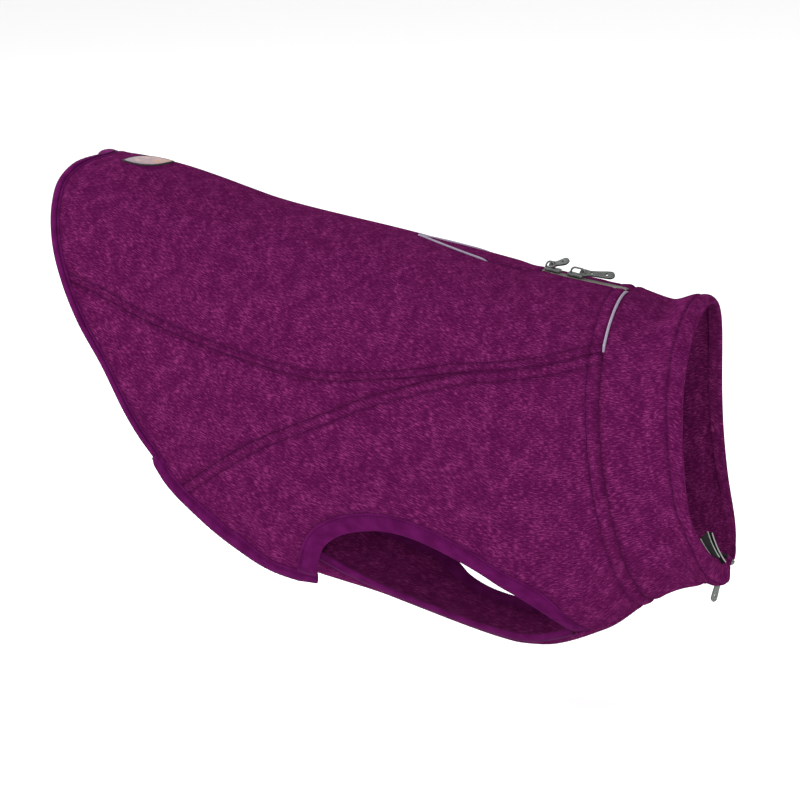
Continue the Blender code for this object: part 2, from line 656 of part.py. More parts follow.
def piping(cut, finish, group):
    height = RELIEF + PIPING_RADIUS
    seam = cut.seam_back.copy()
    seam[:, 0] = 0
    seam = np.concatenate([[(0, 0)], seam])
    left, right = both_sides(seam, height)
    tube("collar_piping", np.concatenate([left, right[1:]]), PIPING_RADIUS, finish, group)
    leaf = cut.leaf_piping[:-3]
    left, right = both_sides(leaf, height)
    tube("back_piping", np.concatenate([left, right[1:]]), PIPING_RADIUS, finish, group)


def zip_strips(prefix, start, end, share, tape, coil, group):
    """The two tapes and the coil of a closed zip along a centre line, in its slot."""
    run = np.linspace(start, end, 8)
    unit = 1 / girth(run, share + 0 * run)
    toward = 1 if share == 0 else -1

    def line(distance):
        return np.stack([run, share + toward * distance * unit + 0 * run], -1)

    for name, side in SIDES.items():
        ribbon(prefix + "_tape_" + name, line(COIL_HALF + 0.3), line(ZIP_SLOT - 0.9), -1.7,
               ZIP_TAPE - 1.7, tape, group, side)
    middle = cloth(run, np.full_like(run, share), -1.6)
    top = cloth(run, np.full_like(run, share), COIL_TOP)
    shift = np.array([0, COIL_HALF, 0])
    points = np.stack([middle - shift, middle + shift, top + shift * 0.7, top - shift * 0.7], 1)
    new_object(prefix + "_coil", grid_mesh(prefix + "_coil", points, True, True), coil, group)


def spot(along, share, lift):
    """Frame of a spot on the garment: x runs forward over the cloth and z points away from it."""
    ends = [cloth(np.array(along + step), np.array(share), lift) for step in (-6, 6)]
    x = Vector(ends[1] - ends[0]).normalized()
    y = Vector((0, 1 if share == 0 else -1, 0))
    z = x.cross(y)
    frame = Matrix((x, y, z)).transposed().to_4x4()
    frame.translation = Vector(cloth(np.array(along), np.array(share), lift) * MM)
    return frame


def block(name, low, high, frame, finish, group, bevel=0.5):
    """A box between two corners, in millimetres of its frame, with rounded edges."""
    built = bmesh.new()
    bmesh.ops.create_cube(built, size=1)
    low, high = Vector(low) * MM, Vector(high) * MM
    for vert in built.verts:
        vert.co = Vector([(l + h) / 2 + c * (h - l) for l, h, c in zip(low, high, vert.co)])
    mesh = bpy.data.meshes.new(name)
    built.to_mesh(mesh)
    built.free()
    piece = new_object(name, mesh, finish, group)
    piece.matrix_world = frame
    if bevel:
        rounded = piece.modifiers.new("edges", "BEVEL")
        rounded.width = bevel * MM
        rounded.segments = 2
        rounded.limit_method = "ANGLE"
    return piece


def joined(piece, other):
    """Adds another closed object to a piece; the other stays as a helper that isn't built."""
    other.hide_render = True
    other.display_type = "WIRE"
    union = piece.modifiers.new("with_" + other.name, "BOOLEAN")
    union.operation = "UNION"
    union.object = other
    union.solver = "EXACT"


def arch(name, reach, back, frame, finish, helpers):
    """The bridge over a slider: a wire that rises, turns over the tab's bar and comes down.
    reach is its radius about the bar, and back is how far its rear leg is set behind."""
    turn = np.radians(np.linspace(0, 180, 13))
    x = reach * np.cos(turn) - back * (turn > math.pi / 2 + 0.01)
    z = reach * np.sin(turn)
    sunk = -BAR_HEIGHT - 1.2
    x = np.concatenate([[x[0]], x, [x[-1]]])
    z = np.concatenate([[sunk], z, [sunk]])
    wire = tube(name + "_wire", np.stack([x, 0 * x, z], -1), BRIDGE_WIRE, finish, helpers)
    wire.matrix_world = frame
    bpy.context.view_layer.update()
    mesh = bpy.data.meshes.new_from_object(wire.evaluated_get(bpy.context.evaluated_depsgraph_get()))
    built = bmesh.new()
    built.from_mesh(mesh)
    bmesh.ops.remove_doubles(built, verts=built.verts, dist=1e-6)
    built.to_mesh(mesh)
    built.free()
    solid = bpy.data.objects.new(name, mesh)
    helpers.objects.link(solid)
    solid.matrix_world = wire.matrix_world
    bpy.data.objects.remove(wire, do_unlink=True)
    return solid


def slider(name, along, hinge, share, back, rise, finish, group, helpers):
    """A slider body over the coil, with a bridge that holds a pull tab.
    hinge is how far its bar is ahead of its middle, and rise its clearance over the coil."""
    bottom = COIL_TOP + rise
    frame = spot(along, share, 0.0)
    size = SLIDER
    body = block(name, (-size[0] / 2, -size[1] / 2, bottom),
                 (size[0] / 2, size[1] / 2, bottom + size[2]), frame, finish, group)
    axis = frame @ Matrix.Translation(Vector((hinge, 0, bottom + size[2] + BAR_HEIGHT)) * MM)
    joined(body, arch(name + "_bridge", BRIDGE_REACH, back, axis, finish, helpers))
    return axis


def pull_tab(name, axis, angle, length, width, holes, finish, group):
    """A flat tab with an eye around the bridge. Its origin is on the hinge axis, along its own Y."""
    curve = bpy.data.curves.new(name, "CURVE")
    curve.dimensions = "2D"
    curve.fill_mode = "BOTH"
    curve.extrude = TAB_WALL / 2 * MM
    turn = np.radians(np.linspace(-90, 90, 9))
    half = width / 2
    tip = np.stack([length - half + half * np.cos(turn), half * np.sin(turn)], -1)
    back = TAB_WALL / 2
    outline = np.concatenate([tip, [(-back + 0.6, half), (-back, half - 0.6), (-back, 0.6 - half),
                                    (-back + 0.6, -half)]])
    eye = [(EYE[0], -EYE[2]), (EYE[1], -EYE[2]), (EYE[1], EYE[2]), (EYE[0], EYE[2])]
    round_turn = np.radians(np.arange(0, 360, 36))
    rounds = [[(x + r * math.cos(a), r * math.sin(a)) for a in round_turn] for x, r in holes]
    for ring in [outline, eye, *rounds]:
        spline = curve.splines.new("POLY")
        spline.points.add(len(ring) - 1)
        for knot, (x, y) in zip(spline.points, ring):
            knot.co = (x * MM, y * MM, 0, 1)
        spline.use_cyclic_u = True
    tab = bpy.data.objects.new(name, curve)
    curve.materials.append(finish)
    group.objects.link(tab)
    tab.matrix_world = axis @ Matrix.Rotation(-math.radians(angle), 4, "Y")
    return tab


def hardware(metal, pale, group, helpers):
    axis = slider("leash_slider_rear", -67, -3, 0, 0.0, 0.3, metal, group, helpers)
    pull_tab("leash_pull_tab_rear", axis, 28, 17, 7, [], metal, group)
    axis = slider("leash_slider_front", -47, 4, 0, 5.0, 0.3, metal, group, helpers)
    pull_tab("leash_pull_tab_front", axis, 8, 29, 7, [(9.0, 1.6), (22.0, 1.6)], metal, group)
    axis = slider("neck_slider", NECK_SLIDER, -2, 1, 0.0, 1.4, pale, group, helpers)
    down = math.degrees(math.atan2(-axis.col[2].z, -axis.col[0].z))
    pull_tab("neck_pull_tab", axis, down + NECK_TAB_LEAN, 34, 5, [(28.5, 1.2)], pale, group)


def build():
    for old in list(bpy.data.objects):
        bpy.data.objects.remove(old, do_unlink=True)
    group = collection("dog_sweater")
    helpers = collection("helpers")
    fleece = material("plum_fleece", (0.16, 0.012, 0.11), 0.95)
    binding = material("plum_binding", (0.12, 0.01, 0.10), 0.85)
    reflective = material("reflective_piping", (0.62, 0.6, 0.66), 0.35)
    back_tape = material("grey_zip_tape", (0.38, 0.36, 0.33), 0.8)
    neck_tape = material("dark_zip_tape", (0.02, 0.025, 0.02), 0.8)
    metal = material("gunmetal", (0.2, 0.2, 0.21), 0.35, 1.0)
    pale = material("silver_metal", (0.6, 0.6, 0.62), 0.3, 1.0)
    patch_finish = material("label_cloth", (0.55, 0.48, 0.5), 0.6)
    cuts = {"left": Cut(STRAP_EDGE_LEFT), "right": Cut(STRAP_EDGE_RIGHT)}
    cut = cuts["right"]
    back_places = back_pieces(cut, fleece, group)
    for name, side in SIDES.items():
        side_pieces(cut, fleece, group, side, name)
    chest_piece(cuts, fleece, group)
    collar_piece(cut, fleece, group)
    bands(cuts, binding, group)
    label(back_places, patch_finish, group)
    piping(cut, reflective, group)
    zip_strips("leash_zip", LEASH_ZIP[0], LEASH_ZIP[1], 0, back_tape, back_tape, group)
    zip_strips("neck_zip", NECK_ZIP[0], NECK_ZIP[1], 1, neck_tape, neck_tape, group)
    rim_strips(cut, neck_tape, group)
    hardware(metal, pale, group, helpers)


build()
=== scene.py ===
import json
import math

import bmesh
import bpy
import numpy as np
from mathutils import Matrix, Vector


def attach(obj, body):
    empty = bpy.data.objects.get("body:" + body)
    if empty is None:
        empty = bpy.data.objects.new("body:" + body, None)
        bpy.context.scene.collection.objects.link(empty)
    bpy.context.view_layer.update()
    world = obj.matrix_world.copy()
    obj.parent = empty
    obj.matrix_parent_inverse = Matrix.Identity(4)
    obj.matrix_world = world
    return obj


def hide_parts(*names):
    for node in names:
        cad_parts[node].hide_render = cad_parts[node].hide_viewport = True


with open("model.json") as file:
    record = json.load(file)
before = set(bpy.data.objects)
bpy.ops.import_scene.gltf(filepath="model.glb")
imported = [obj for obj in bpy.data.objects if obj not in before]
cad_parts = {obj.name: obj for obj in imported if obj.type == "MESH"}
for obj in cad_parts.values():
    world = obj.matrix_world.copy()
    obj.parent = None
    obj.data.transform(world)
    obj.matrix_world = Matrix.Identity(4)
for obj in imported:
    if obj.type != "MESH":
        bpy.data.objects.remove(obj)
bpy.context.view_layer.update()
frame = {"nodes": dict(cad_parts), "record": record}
print("frame loaded:", len(frame["nodes"]), "nodes")

mm = 0.001
leftSide, rightSide = 1, -1
sideNames = {"left": leftSide, "right": rightSide}

# the worn surface, in millimetres. A place on it is (along, share): along the centre back, 0 at the collar
# seam, and a share of the half girth, 0 at the centre back, 1 or -1 at the centre of the chest, + on the left
worn = {
    "slope": math.radians(11.0),  # the back falls towards the neck
    "wall": 2.4, "seam": 0.02, "bandSeam": -0.5,  # a binding laps over the edge of its cloth
    "dentSpread": 0.08,
    "throatDent": 21.0, "throatSpread": 0.045, "throatRun": (15, 82),
    "flare": 12.0,  # the belly corner of each side hangs off the strap
    "tuck": 8.0,  # the rear end of the strap lies inside the sides
    "girth": 330.0,  # half girth that the cloth's grain is drawn to
    "grainTurn": math.radians(9.0),  # the knit lies a little askew to the back
}
# along, back height, chest along, chest height, half width, sides set back, back round, chest round, dent
sections = np.array([
    (-505, 4.0, -505, -285, 57, 0, 0.09, 0.12, 5.0),
    (-435, 10.0, -435, -293, 60, 0, 0.10, 0.14, 4.0),
    (-395, 7.5, -395, -302, 61, 0, 0.10, 0.15, 1.5),
    (-295, 1.5, -288, -312, 63, 1, 0.10, 0.17, 1.0),
    (-195, 3.0, -163, -316, 65, 6, 0.10, 0.18, 1.0),
    (-105, 2.5, -24, -317, 66, 14, 0.10, 0.18, 2.0),
    (-45, 4.5, 42, -287, 67, 19, 0.09, 0.14, 3.5),
    (0, 6.5, 78, -248, 68, 20, 0.08, 0.10, 4.0),
    (33, 3.0, 109, -224, 69, 18, 0.08, 0.10, 2.0),
    (58, 12.5, 122, -215, 71, 15, 0.08, 0.12, 1.0),
    (70, 11.0, 131, -219, 71, 13, 0.08, 0.12, 1.0),
    (82, 8.0, 139, -217, 71, 12, 0.08, 0.12, 1.0),
])

# cut lines on the worn surface, each row: along, share
cuts = {
    "hem": [(-473, 0.0), (-474, 0.02), (-480, 0.06), (-491, 0.12), (-498, 0.19), (-497, 0.26),
            (-490, 0.335), (-472, 0.424), (-453, 0.484), (-422, 0.552), (-380, 0.645), (-364, 0.674),
            (-347, 0.711), (-316, 0.752), (-282, 0.792), (-252, 0.826), (-222, 0.826), (-206, 0.826)],
    "upperSeam": [(-475, 0.408), (-458, 0.415), (-401, 0.432), (-340, 0.439), (-280, 0.441),
                  (-242, 0.439), (-196, 0.414), (-157, 0.384), (-126, 0.355), (-96, 0.335),
                  (-53, 0.315), (0, 0.278)],
    "lowerSeam": [(-356, 0.76), (-337, 0.709), (-310, 0.635), (-284, 0.577), (-253, 0.527),
                  (-222, 0.482), (-195, 0.442), (-168, 0.408), (-138, 0.371), (-114, 0.347)],
    "armhole": [(-220, 0.84), (-219, 0.80), (-218, 0.762), (-215, 0.731), (-206, 0.703), (-190, 0.680),
                (-175, 0.668), (-160, 0.666), (-145, 0.672), (-131, 0.682), (-106, 0.707), (-90, 0.730),
                (-78, 0.762), (-66, 0.820), (-61, 0.862)],
    "strapRight": [(-256, 0.735), (-240, 0.752), (-220, 0.776), (-205, 0.800), (-190, 0.825),
                   (-172, 0.846), (-150, 0.853), (-123, 0.853), (-98, 0.850), (-78, 0.856), (-61, 0.862)],
    "strapLeft": [(-256, 0.722), (-240, 0.735), (-220, 0.750), (-200, 0.762), (-180, 0.772),
                  (-166, 0.783), (-157, 0.805), (-149, 0.835), (-138, 0.852), (-123, 0.856),
                  (-98, 0.851), (-78, 0.856), (-61, 0.862)],
    "chestSeam": [(-61, 0.862), (-54, 0.885), (-36, 0.918), (0, 0.945)],
    "leaf": [(-187, 0.0), (-165, 0.024), (-142, 0.041), (-118, 0.052), (-100, 0.052), (-86, 0.038),
             (-76, 0.0165)],
}
cutSizes = {"hemBand": 8.0, "bellyStep": 3.5, "armBand": 14.0, "strapBand": 12.0, "strapHem": -252.0,
            "strapFrom": 0.70, "bandEnd": (-51, 0.892), "zipSlot": 5.0,
            "bellyFrom": 5 / 6,  # the belly's binding takes over from the tail's at this share of the gusset
            "bellyBegin": 0.3, "bellyRamp": 0.025, "tipBack": 20, "tipShare": 0.2}
closePoints = {"hem": 1600, "seam": 1200, "edge": 1000, "short": 400}
# stretches of each cut line; a side of a piece counts as many steps for each
steps = {"centre": 15, "leaf": 7, "slot": 5, "joined": 19, "single": 8, "across": 8, "gusset": 6,
         "hem": 8, "arm": 14, "chest": 4, "strap": 4}
finePerStep = 40
shareLength = 450  # a share of the half girth in millimetres, for finding where lines cross


def hermite(t, step, start, end, startSlope, endSlope):
    # the cubic from start to end with a slope at either end
    return ((2 * t**3 - 3 * t**2 + 1) * start + (t**3 - 2 * t**2 + t) * step * startSlope
            + (3 * t**2 - 2 * t**3) * end + (t**3 - t**2) * step * endSlope)


def station(along, column):
    # a column of the sections at any place: a cubic through its rows that never overshoots them
    x, y = sections[:, 0], sections[:, column]
    step = np.diff(x)
    slope = np.diff(y) / step
    sameWay = slope[:-1] * slope[1:] > 0
    low, high = 2 * step[1:] + step[:-1], step[1:] + 2 * step[:-1]
    first, second = np.where(sameWay, slope[:-1], 1.0), np.where(sameWay, slope[1:], 1.0)
    between = np.where(sameWay, (low + high) / (low / first + high / second), 0.0)
    tangent = np.concatenate([slope[:1], between, slope[-1:]])
    row = np.clip(np.searchsorted(x, along) - 1, 0, len(x) - 2)
    after = row + 1
    return hermite((along - x[row]) / step[row], step[row], y[row], y[after], tangent[row], tangent[after])


def ramp(value, start, end):
    # 0 before the start, 1 past the end, smooth between
    t = np.clip((value - start) / (end - start), 0, 1)
    return t * t * (3 - 2 * t)


def bell(distance, width):
    # 1 at no distance, falling to 1 / e at the width
    return np.exp(-(distance / width)**2)


def bareSurface(along, share):
    # each section: y is a sine of the share with a little of its third harmonic, z falls by a cosine
    back, chestAlong, chest, halfWidth, setBack, backRound, chestRound, dent = (
        station(along, column) for column in range(1, 9))
    angle = np.pi * share
    lower = (1 - np.cos(angle)) / 2
    squareness = backRound + (chestRound - backRound) * lower
    y = halfWidth * (np.sin(angle) + squareness * np.sin(3 * angle)) / (1 - squareness)
    x = along + (chestAlong - along) * lower - setBack * np.sin(angle)**2
    z = back + (chest - back) * lower - dent * bell(share, worn["dentSpread"])
    atThroat = bell(1 - np.abs(share), worn["throatSpread"])
    return np.stack([x, y, z + worn["throatDent"] * atThroat * ramp(along, *worn["throatRun"])], -1)


def tilted(points):
    # turned nose down about the y axis by the slope of the back
    cos, sin = math.cos(worn["slope"]), math.sin(worn["slope"])
    x, y, z = points[..., 0], points[..., 1], points[..., 2]
    return np.stack([x * cos + z * sin, y, z * cos - x * sin], -1)


def unit(vectors):
    # each vector over its length
    return vectors / np.linalg.norm(vectors, axis=-1, keepdims=True)


def outward(along, share):
    # unit normal: the cross product of steps along and round the surface
    stepA, stepS = 0.5, 0.002
    overA = bareSurface(along + stepA, share) - bareSurface(along - stepA, share)
    overS = bareSurface(along, share + stepS) - bareSurface(along, share - stepS)
    return tilted(unit(np.cross(overA, overS)))


nape = np.array(0.0)
seat = tilted(bareSurface(nape, nape)) - worn["wall"] * outward(nape, nape)


def cloth(along, share, lift=0.0):
    # a place on the outer face, lifted off it along its normal
    along, share = np.asarray(along, float), np.asarray(share, float)
    away = outward(along, share) * np.asarray(lift, float)[..., None]
    return tilted(bareSurface(along, share)) + away - seat


def girth(along, share):
    # millimetres round the surface for one share
    step = 0.002
    ends = [bareSurface(np.asarray(along), np.asarray(share) + s) for s in (-step, step)]
    return np.linalg.norm(ends[1] - ends[0], axis=-1) / (2 * step)


def lengths(curve):
    # millimetres along a curve of (along, share) places, from its start to each of them
    middle = (curve[1:] + curve[:-1]) / 2
    parts = np.diff(curve, axis=0)
    parts[:, 1] *= girth(middle[:, 0], middle[:, 1])
    return np.concatenate([[0], np.cumsum(np.hypot(parts[:, 0], parts[:, 1]))])


def fineCurve(name, count="short"):
    # a cubic through a cut line's rows with central tangents, at even arc length
    rows = np.array(cuts[name], float)
    at = lengths(rows)
    tangent = np.gradient(rows, at, axis=0)
    t = np.linspace(0, at[-1], closePoints[count])
    row = np.clip(np.searchsorted(at, t) - 1, 0, len(at) - 2)
    step = (at[row + 1] - at[row])[:, None]
    after = row + 1
    return hermite((t - at[row])[:, None] / step, step, rows[row], rows[after], tangent[row], tangent[after])


def moved(curve, distance):
    # the curve moved sideways over the cloth, square to its run
    scale = girth(curve[:, 0], curve[:, 1])
    tangent = np.gradient(curve, axis=0)
    runA, runG = tangent[:, 0], tangent[:, 1] * scale
    size = np.hypot(runA, runG)
    return curve + distance * np.stack([-runG / size, runA / size / scale], -1)


def drawnTo(curve, target):
    # its last fifth led to a target
    t = np.linspace(0, 1, len(curve))[:, None]
    return curve + ramp(t, 0.8, 1.0) * (np.asarray(target) - curve[-1])


def crossing(first, second):
    # the closest pair of points of two curves, as an index on each
    gap = (first[:, None, :] - second[None, :, :]) * (1, shareLength)
    return divmod(np.argmin((gap**2).sum(-1)), len(second))


def even(curve, cells, start=0, end=None):
    # positions on the curve at even lengths
    end = len(curve) - 1 if end is None else end
    at = lengths(curve[start:end + 1])
    return start + np.interp(np.linspace(0, at[-1], cells + 1), at, np.arange(len(at)))


def pick(curve, positions):
    # points at fractional indices, straight between neighbours
    index = np.arange(len(curve))
    return np.stack([np.interp(positions, index, curve[:, k]) for k in range(curve.shape[1])], -1)


def sampled(line, t):
    # points at fractions 0 to 1 of the line, counted by its points
    return pick(line, t * (len(line) - 1))


def beside(curve, index, distance):
    # the point so many millimetres along the curve from one of its points
    at = lengths(curve)
    return pick(curve, [np.interp(at[index] + distance, at, np.arange(len(at)))])[0]


def straight(start, end, cells):
    # an even row of places
    return np.linspace(start, end, cells + 1)


def chained(*stretches):
    # stretches end to end, each shared point kept once
    return np.concatenate([stretches[0]] + [s[1:] for s in stretches[1:]])


def cutLines(strapEdge):
    # every seam and edge of one side, as close points; neighbours share theirs
    c, lap = cutSizes, worn["bandSeam"]
    half, slot = worn["seam"] / 2, c["zipSlot"] / girth(0.0, 0.0)
    fine = {name: count * finePerStep for name, count in steps.items()}
    hem = fineCurve("hem", "hem")
    hemCloth, hemInner = moved(hem, -c["hemBand"]), moved(hem, lap - c["hemBand"])
    hemCloth[0, 1] = hemInner[0, 1] = 0
    upper, lower = fineCurve("upperSeam", "seam"), fineCurve("lowerSeam", "seam")
    chestSeam, leaf = fineCurve("chestSeam"), fineCurve("leaf")
    sideOfSeam, chestOfSeam = moved(chestSeam, -half), moved(chestSeam, half)
    arm = drawnTo(fineCurve("armhole", "edge"), sideOfSeam[0])
    bandEnd = crossing(chestSeam, np.array([c["bandEnd"]]))[0]
    armCloth = drawnTo(moved(arm, -c["armBand"]), sideOfSeam[bandEnd])
    strap = drawnTo(fineCurve(strapEdge, "edge"), chestOfSeam[0])
    strapCloth = moved(strap, c["strapBand"])
    hemUpper, upperHem = crossing(hemCloth, upper)
    hemLower, lowerHem = crossing(hemCloth, lower)
    hemArm, armHem = crossing(hemCloth, armCloth)
    meeting = crossing(upper, lower[-1:])[0]
    strapSeam, seamStrap = crossing(strapCloth, chestOfSeam)
    rearAlong = c["strapHem"] + c["hemBand"]
    rearLine = straight((rearAlong, c["strapFrom"]), (rearAlong, 1.0), closePoints["short"] - 1)
    strapRear = crossing(strapCloth, rearLine)[0]

    # the hem and its bindings
    backHem = even(hemCloth, fine["across"], 0, hemUpper)
    gussetHem = even(hemCloth, fine["gusset"], hemUpper, hemLower)
    sideHem = even(hemCloth, fine["hem"], hemLower, hemArm)
    cut = {"backHem": pick(hemCloth, backHem), "gussetHem": pick(hemCloth, gussetHem),
           "sideHem": pick(hemCloth, sideHem)}
    bellyStart = round(fine["gusset"] * c["bellyFrom"])
    meets = gussetHem[bellyStart] * 0.9 + gussetHem[bellyStart - 1] * 0.1
    tail = np.concatenate([backHem, gussetHem[1:bellyStart], [meets]])
    belly = np.concatenate([gussetHem[bellyStart:], sideHem[1:]])
    cut["tailBand"] = pick(hem, tail), pick(hemInner, tail)
    edgeEnd, innerEnd = crossing(hem, arm)[0], crossing(hemInner, arm)[0]
    bellyRun = np.linspace(0, 1, len(belly))[:, None]
    full = c["bellyBegin"] + (1 - c["bellyBegin"]) * ramp(bellyRun, 0, c["bellyRamp"])
    stepped = pick(hem, belly) + (pick(moved(hem, c["bellyStep"]), belly) - pick(hem, belly)) * full
    cut["bellyBand"] = (chained(stepped, hem[edgeEnd - 1:edgeEnd + 1]),
                        chained(pick(hemInner, belly), hemInner[innerEnd - 1:innerEnd + 1]))

    # the side seams, which meet at the gusset's tip
    joined = pick(upper, even(upper, fine["joined"], upperHem, meeting))
    single = pick(upper, even(upper, fine["single"], meeting))
    below = pick(lower, even(lower, fine["joined"], lowerHem))
    cut["backSide"] = moved(chained(joined, single), -half)
    cut["frontUpper"] = moved(chained(below, single), half)
    cut["gussetUpper"], cut["gussetLower"] = moved(joined, half), moved(below, -half)
    nearTip = -fine["joined"] // c["tipBack"]
    tip = (cut["gussetUpper"][nearTip] + cut["gussetLower"][nearTip]) / 2
    cut["gussetUpper"][-1] = cut["gussetLower"][-1] = tip * c["tipShare"] + joined[-1] * (1 - c["tipShare"])
    for name, corner, away in (("backSide", hemUpper, -half), ("gussetUpper", hemUpper, half),
                               ("gussetLower", hemLower, -half), ("frontUpper", hemLower, half)):
        cut[name][0] = beside(hemCloth, corner, away)

    # the inset and the zip's slot at the centre back
    leafLine = pick(leaf, even(leaf, fine["leaf"]))
    outside, inside = moved(leafLine, half), moved(leafLine, -half)
    outside[0], inside[0] = (leaf[0, 0] - worn["seam"], 0), (leaf[0, 0] + worn["seam"], 0)
    slotLine = straight((leaf[-1, 0], slot), (-half, slot), fine["slot"])
    outside[-1] = slotLine[0]
    centre = straight((cut["backHem"][0, 0], 0), outside[0], fine["centre"])
    cut["backCentre"] = chained(centre, outside, slotLine)
    cut["leafSide"], cut["leafLine"] = inside, leafLine

    # the armhole, the strap and their bindings
    armLine = even(armCloth, fine["arm"], armHem)
    cut["armSide"] = pick(armCloth, armLine)
    cut["armSide"][0] = cut["sideHem"][-1]
    cut["armBand"] = (pick(arm, even(arm, fine["arm"], crossing(hemCloth, arm)[1])),
                      pick(moved(armCloth, lap), armLine))
    shared = even(chestSeam, fine["chest"], max(bandEnd, seamStrap))
    cut["frontSeam"] = pick(sideOfSeam, np.append(bandEnd, shared))
    cut["chestSide"] = pick(chestOfSeam, np.append(seamStrap, shared))
    strapLine = even(strapCloth, fine["arm"], strapRear, strapSeam)
    cut["strapSide"] = pick(strapCloth, strapLine)
    cut["strapBand"] = (pick(strap, even(strap, fine["arm"], strapRear)),
                        pick(moved(strapCloth, -lap), strapLine))
    cut["strapRear"] = rear = straight(cut["strapSide"][0], (rearAlong, 1.0), fine["strap"])
    inner = np.concatenate([rear[::-1], [(rear[0, 0], strap[strapRear, 1])]]) - (lap, 0)
    cut["strapHemBand"] = inner + (lap - c["hemBand"], 0), inner

    # all end in the collar seam
    cut["seamBack"] = straight((-half, slot), cut["backSide"][-1], fine["across"])
    cut["seamFront"] = straight(cut["frontUpper"][-1], cut["frontSeam"][-1], fine["across"])
    cut["seamChest"] = straight(cut["chestSide"][-1], (-half, 1.0), fine["strap"])
    for name in ("seamBack", "seamFront", "seamChest"):
        cut[name][:, 0] = -half
    for name in ("backSide", "frontUpper", "frontSeam", "chestSide"):
        cut[name][-1, 0] = -half
    return cut


cutOf = {"left": cutLines("strapLeft"), "right": cutLines("strapRight")}
print("cut lines drawn")

# creases of the cloth, one by one: soft troughs (depth > 0) and ridges (depth < 0)
# start along, start share, end along, end share, depth in mm, width in mm; share is + on the left
creases = np.array([
    (2, -0.79, 2, -0.98, -1.9, 14),  # the seam stands out on both sides of the throat
    (2, 0.79, 2, 0.98, -1.2, 14),
    (57, -0.83, 62, -0.985, -1.8, 7),  # and the cloth under the rim's topstitch
    (-78, -0.02, -118, -0.25, 1.7, 7),  # from the leash zip's rear end, down the right shoulder
    (-98, -0.05, -140, -0.22, -0.9, 12),
    (-478, 0.0, -325, 0.0, -2.2, 17),  # the crest stands up under the label
    (-14, -0.03, -22, -0.26, 1.6, 7),  # the valley behind the collar seam
    (-30, -0.30, -24, -0.62, 0.8, 9),
    (-52, -0.30, -66, -0.52, 0.9, 13),
    (-150, -0.45, -205, -0.66, 1.1, 13),
    (-185, -0.36, -238, -0.50, -0.8, 15),
    (-95, -0.52, -118, -0.68, 1.0, 10),
    (-300, -0.10, -330, -0.36, 1.2, 16),
    (-360, -0.16, -400, -0.44, 0.9, 20),
    (-235, -0.08, -262, -0.30, 0.8, 15),
    (-400, -0.52, -330, -0.62, 1.0, 13),
    (-300, -0.68, -262, -0.77, 1.3, 10),
    (-455, -0.16, -430, -0.36, 1.0, 15),
    (14, -0.10, 24, -0.34, 1.2, 8),  # across the collar
    (36, 0.02, 45, -0.16, 2.0, 8),
    (22, -0.55, 34, -0.78, 1.3, 8),
    (44, -0.42, 40, -0.66, -0.7, 7),
    (-80, 0.03, -112, 0.21, 1.5, 8),  # the left side has its own
    (-18, 0.05, -20, 0.25, 1.3, 7),
    (-44, 0.33, -60, 0.56, 0.9, 12),
    (-140, 0.44, -196, 0.63, 1.2, 12),
    (-90, 0.50, -108, 0.66, 0.9, 11),
    (-285, 0.12, -312, 0.34, 1.1, 17),
    (-350, 0.20, -404, 0.42, 1.0, 18),
    (-405, 0.54, -340, 0.60, 0.9, 14),
    (-306, 0.66, -258, 0.76, 1.2, 11),
    (20, 0.14, 26, 0.38, 1.1, 9),
    (28, 0.52, 33, 0.74, 1.2, 9),
    (-110, 0.90, -96, 1.0, 1.0, 10),  # across the strap
    (-104, -0.90, -92, -1.0, 1.1, 10),
])
creaseGain, creaseEnds = 1.45, 0.7


def creaseLift(along, share):
    # each crease fades from its line by a bell, and towards its two ends by a sine
    lift = np.zeros(np.broadcast(along, share).shape)
    for startA, startS, endA, endS, depth, width in creases:
        runA, runS = endA - startA, (endS - startS) * worn["girth"]
        size = math.hypot(runA, runS)
        fromA, fromS = along - startA, (share - startS) * worn["girth"]
        t = (fromA * runA + fromS * runS) / size**2
        off = (fromA * runS - fromS * runA) / size
        lift = lift - creaseGain * depth * bell(off, width) * np.sin(np.pi * np.clip(t, 0, 1))**creaseEnds
    return lift


def flat(along, share):
    # for cloth that follows the plain surface
    return 0.0


def flare(along, share):
    # out by a ramp round the girth, between two ramps along it
    share = np.abs(share)
    return worn["flare"] * ramp(share, 0.60, 0.84) * ramp(along, -400, -280) * (1 - ramp(along, -215, -150))


def strapTuck(along, share):
    # in by a ramp towards the rear, on the chest alone
    return -worn["tuck"] * (1 - ramp(along, -200, -110)) * ramp(np.abs(share), 0.5, 0.6)


# the seam's relief, and the dark of pressed pile with painted shade in the seam and stitch grooves
seamShape = {"roll": 1.0, "plainRoll": 0.5, "rollWidth": 2.2, "ridge": 0.6, "ridgeAt": 4.5, "ridgeWidth": 3.0,
             "groove": 0.75, "grooveWidth": 1.2, "pucker": 0.22, "puckerPitch": 6.3, "puckerAt": 0.6,
             "puckerWidth": 0.35, "pressShade": 0.75, "plainPressShade": 0.5, "pressShadeWidth": 3.0, "stitchPressShade": 0.6,
             "stitchPressShadeWidth": 2.4}
# distance of each topstitch from its seam or edge
topstitch = {"lower": 9.0, "collarSeam": 11.5, "upper": 7.0, "rim": 13.5, "band": 2.2}


def seamRoll(distance, stitchAt, run=0.0):
    # the edge turns down into the seam, the allowance under it makes a low ridge, a topstitch draws it in,
    # and short puckers cross the band between the two
    s = seamShape
    roll = s["roll"] if stitchAt else s["plainRoll"]
    lift = s["ridge"] * bell(distance - s["ridgeAt"], s["ridgeWidth"]) - roll * bell(distance, s["rollWidth"])
    if stitchAt:
        lift = lift - s["groove"] * bell(distance - stitchAt, s["grooveWidth"])
        wave = np.sin(2 * np.pi * run / s["puckerPitch"] + 1.6 * np.sin(run / 19))
        puckered = bell(distance - stitchAt * s["puckerAt"], stitchAt * s["puckerWidth"])
        lift = lift + s["pucker"] * wave * puckered
    return lift


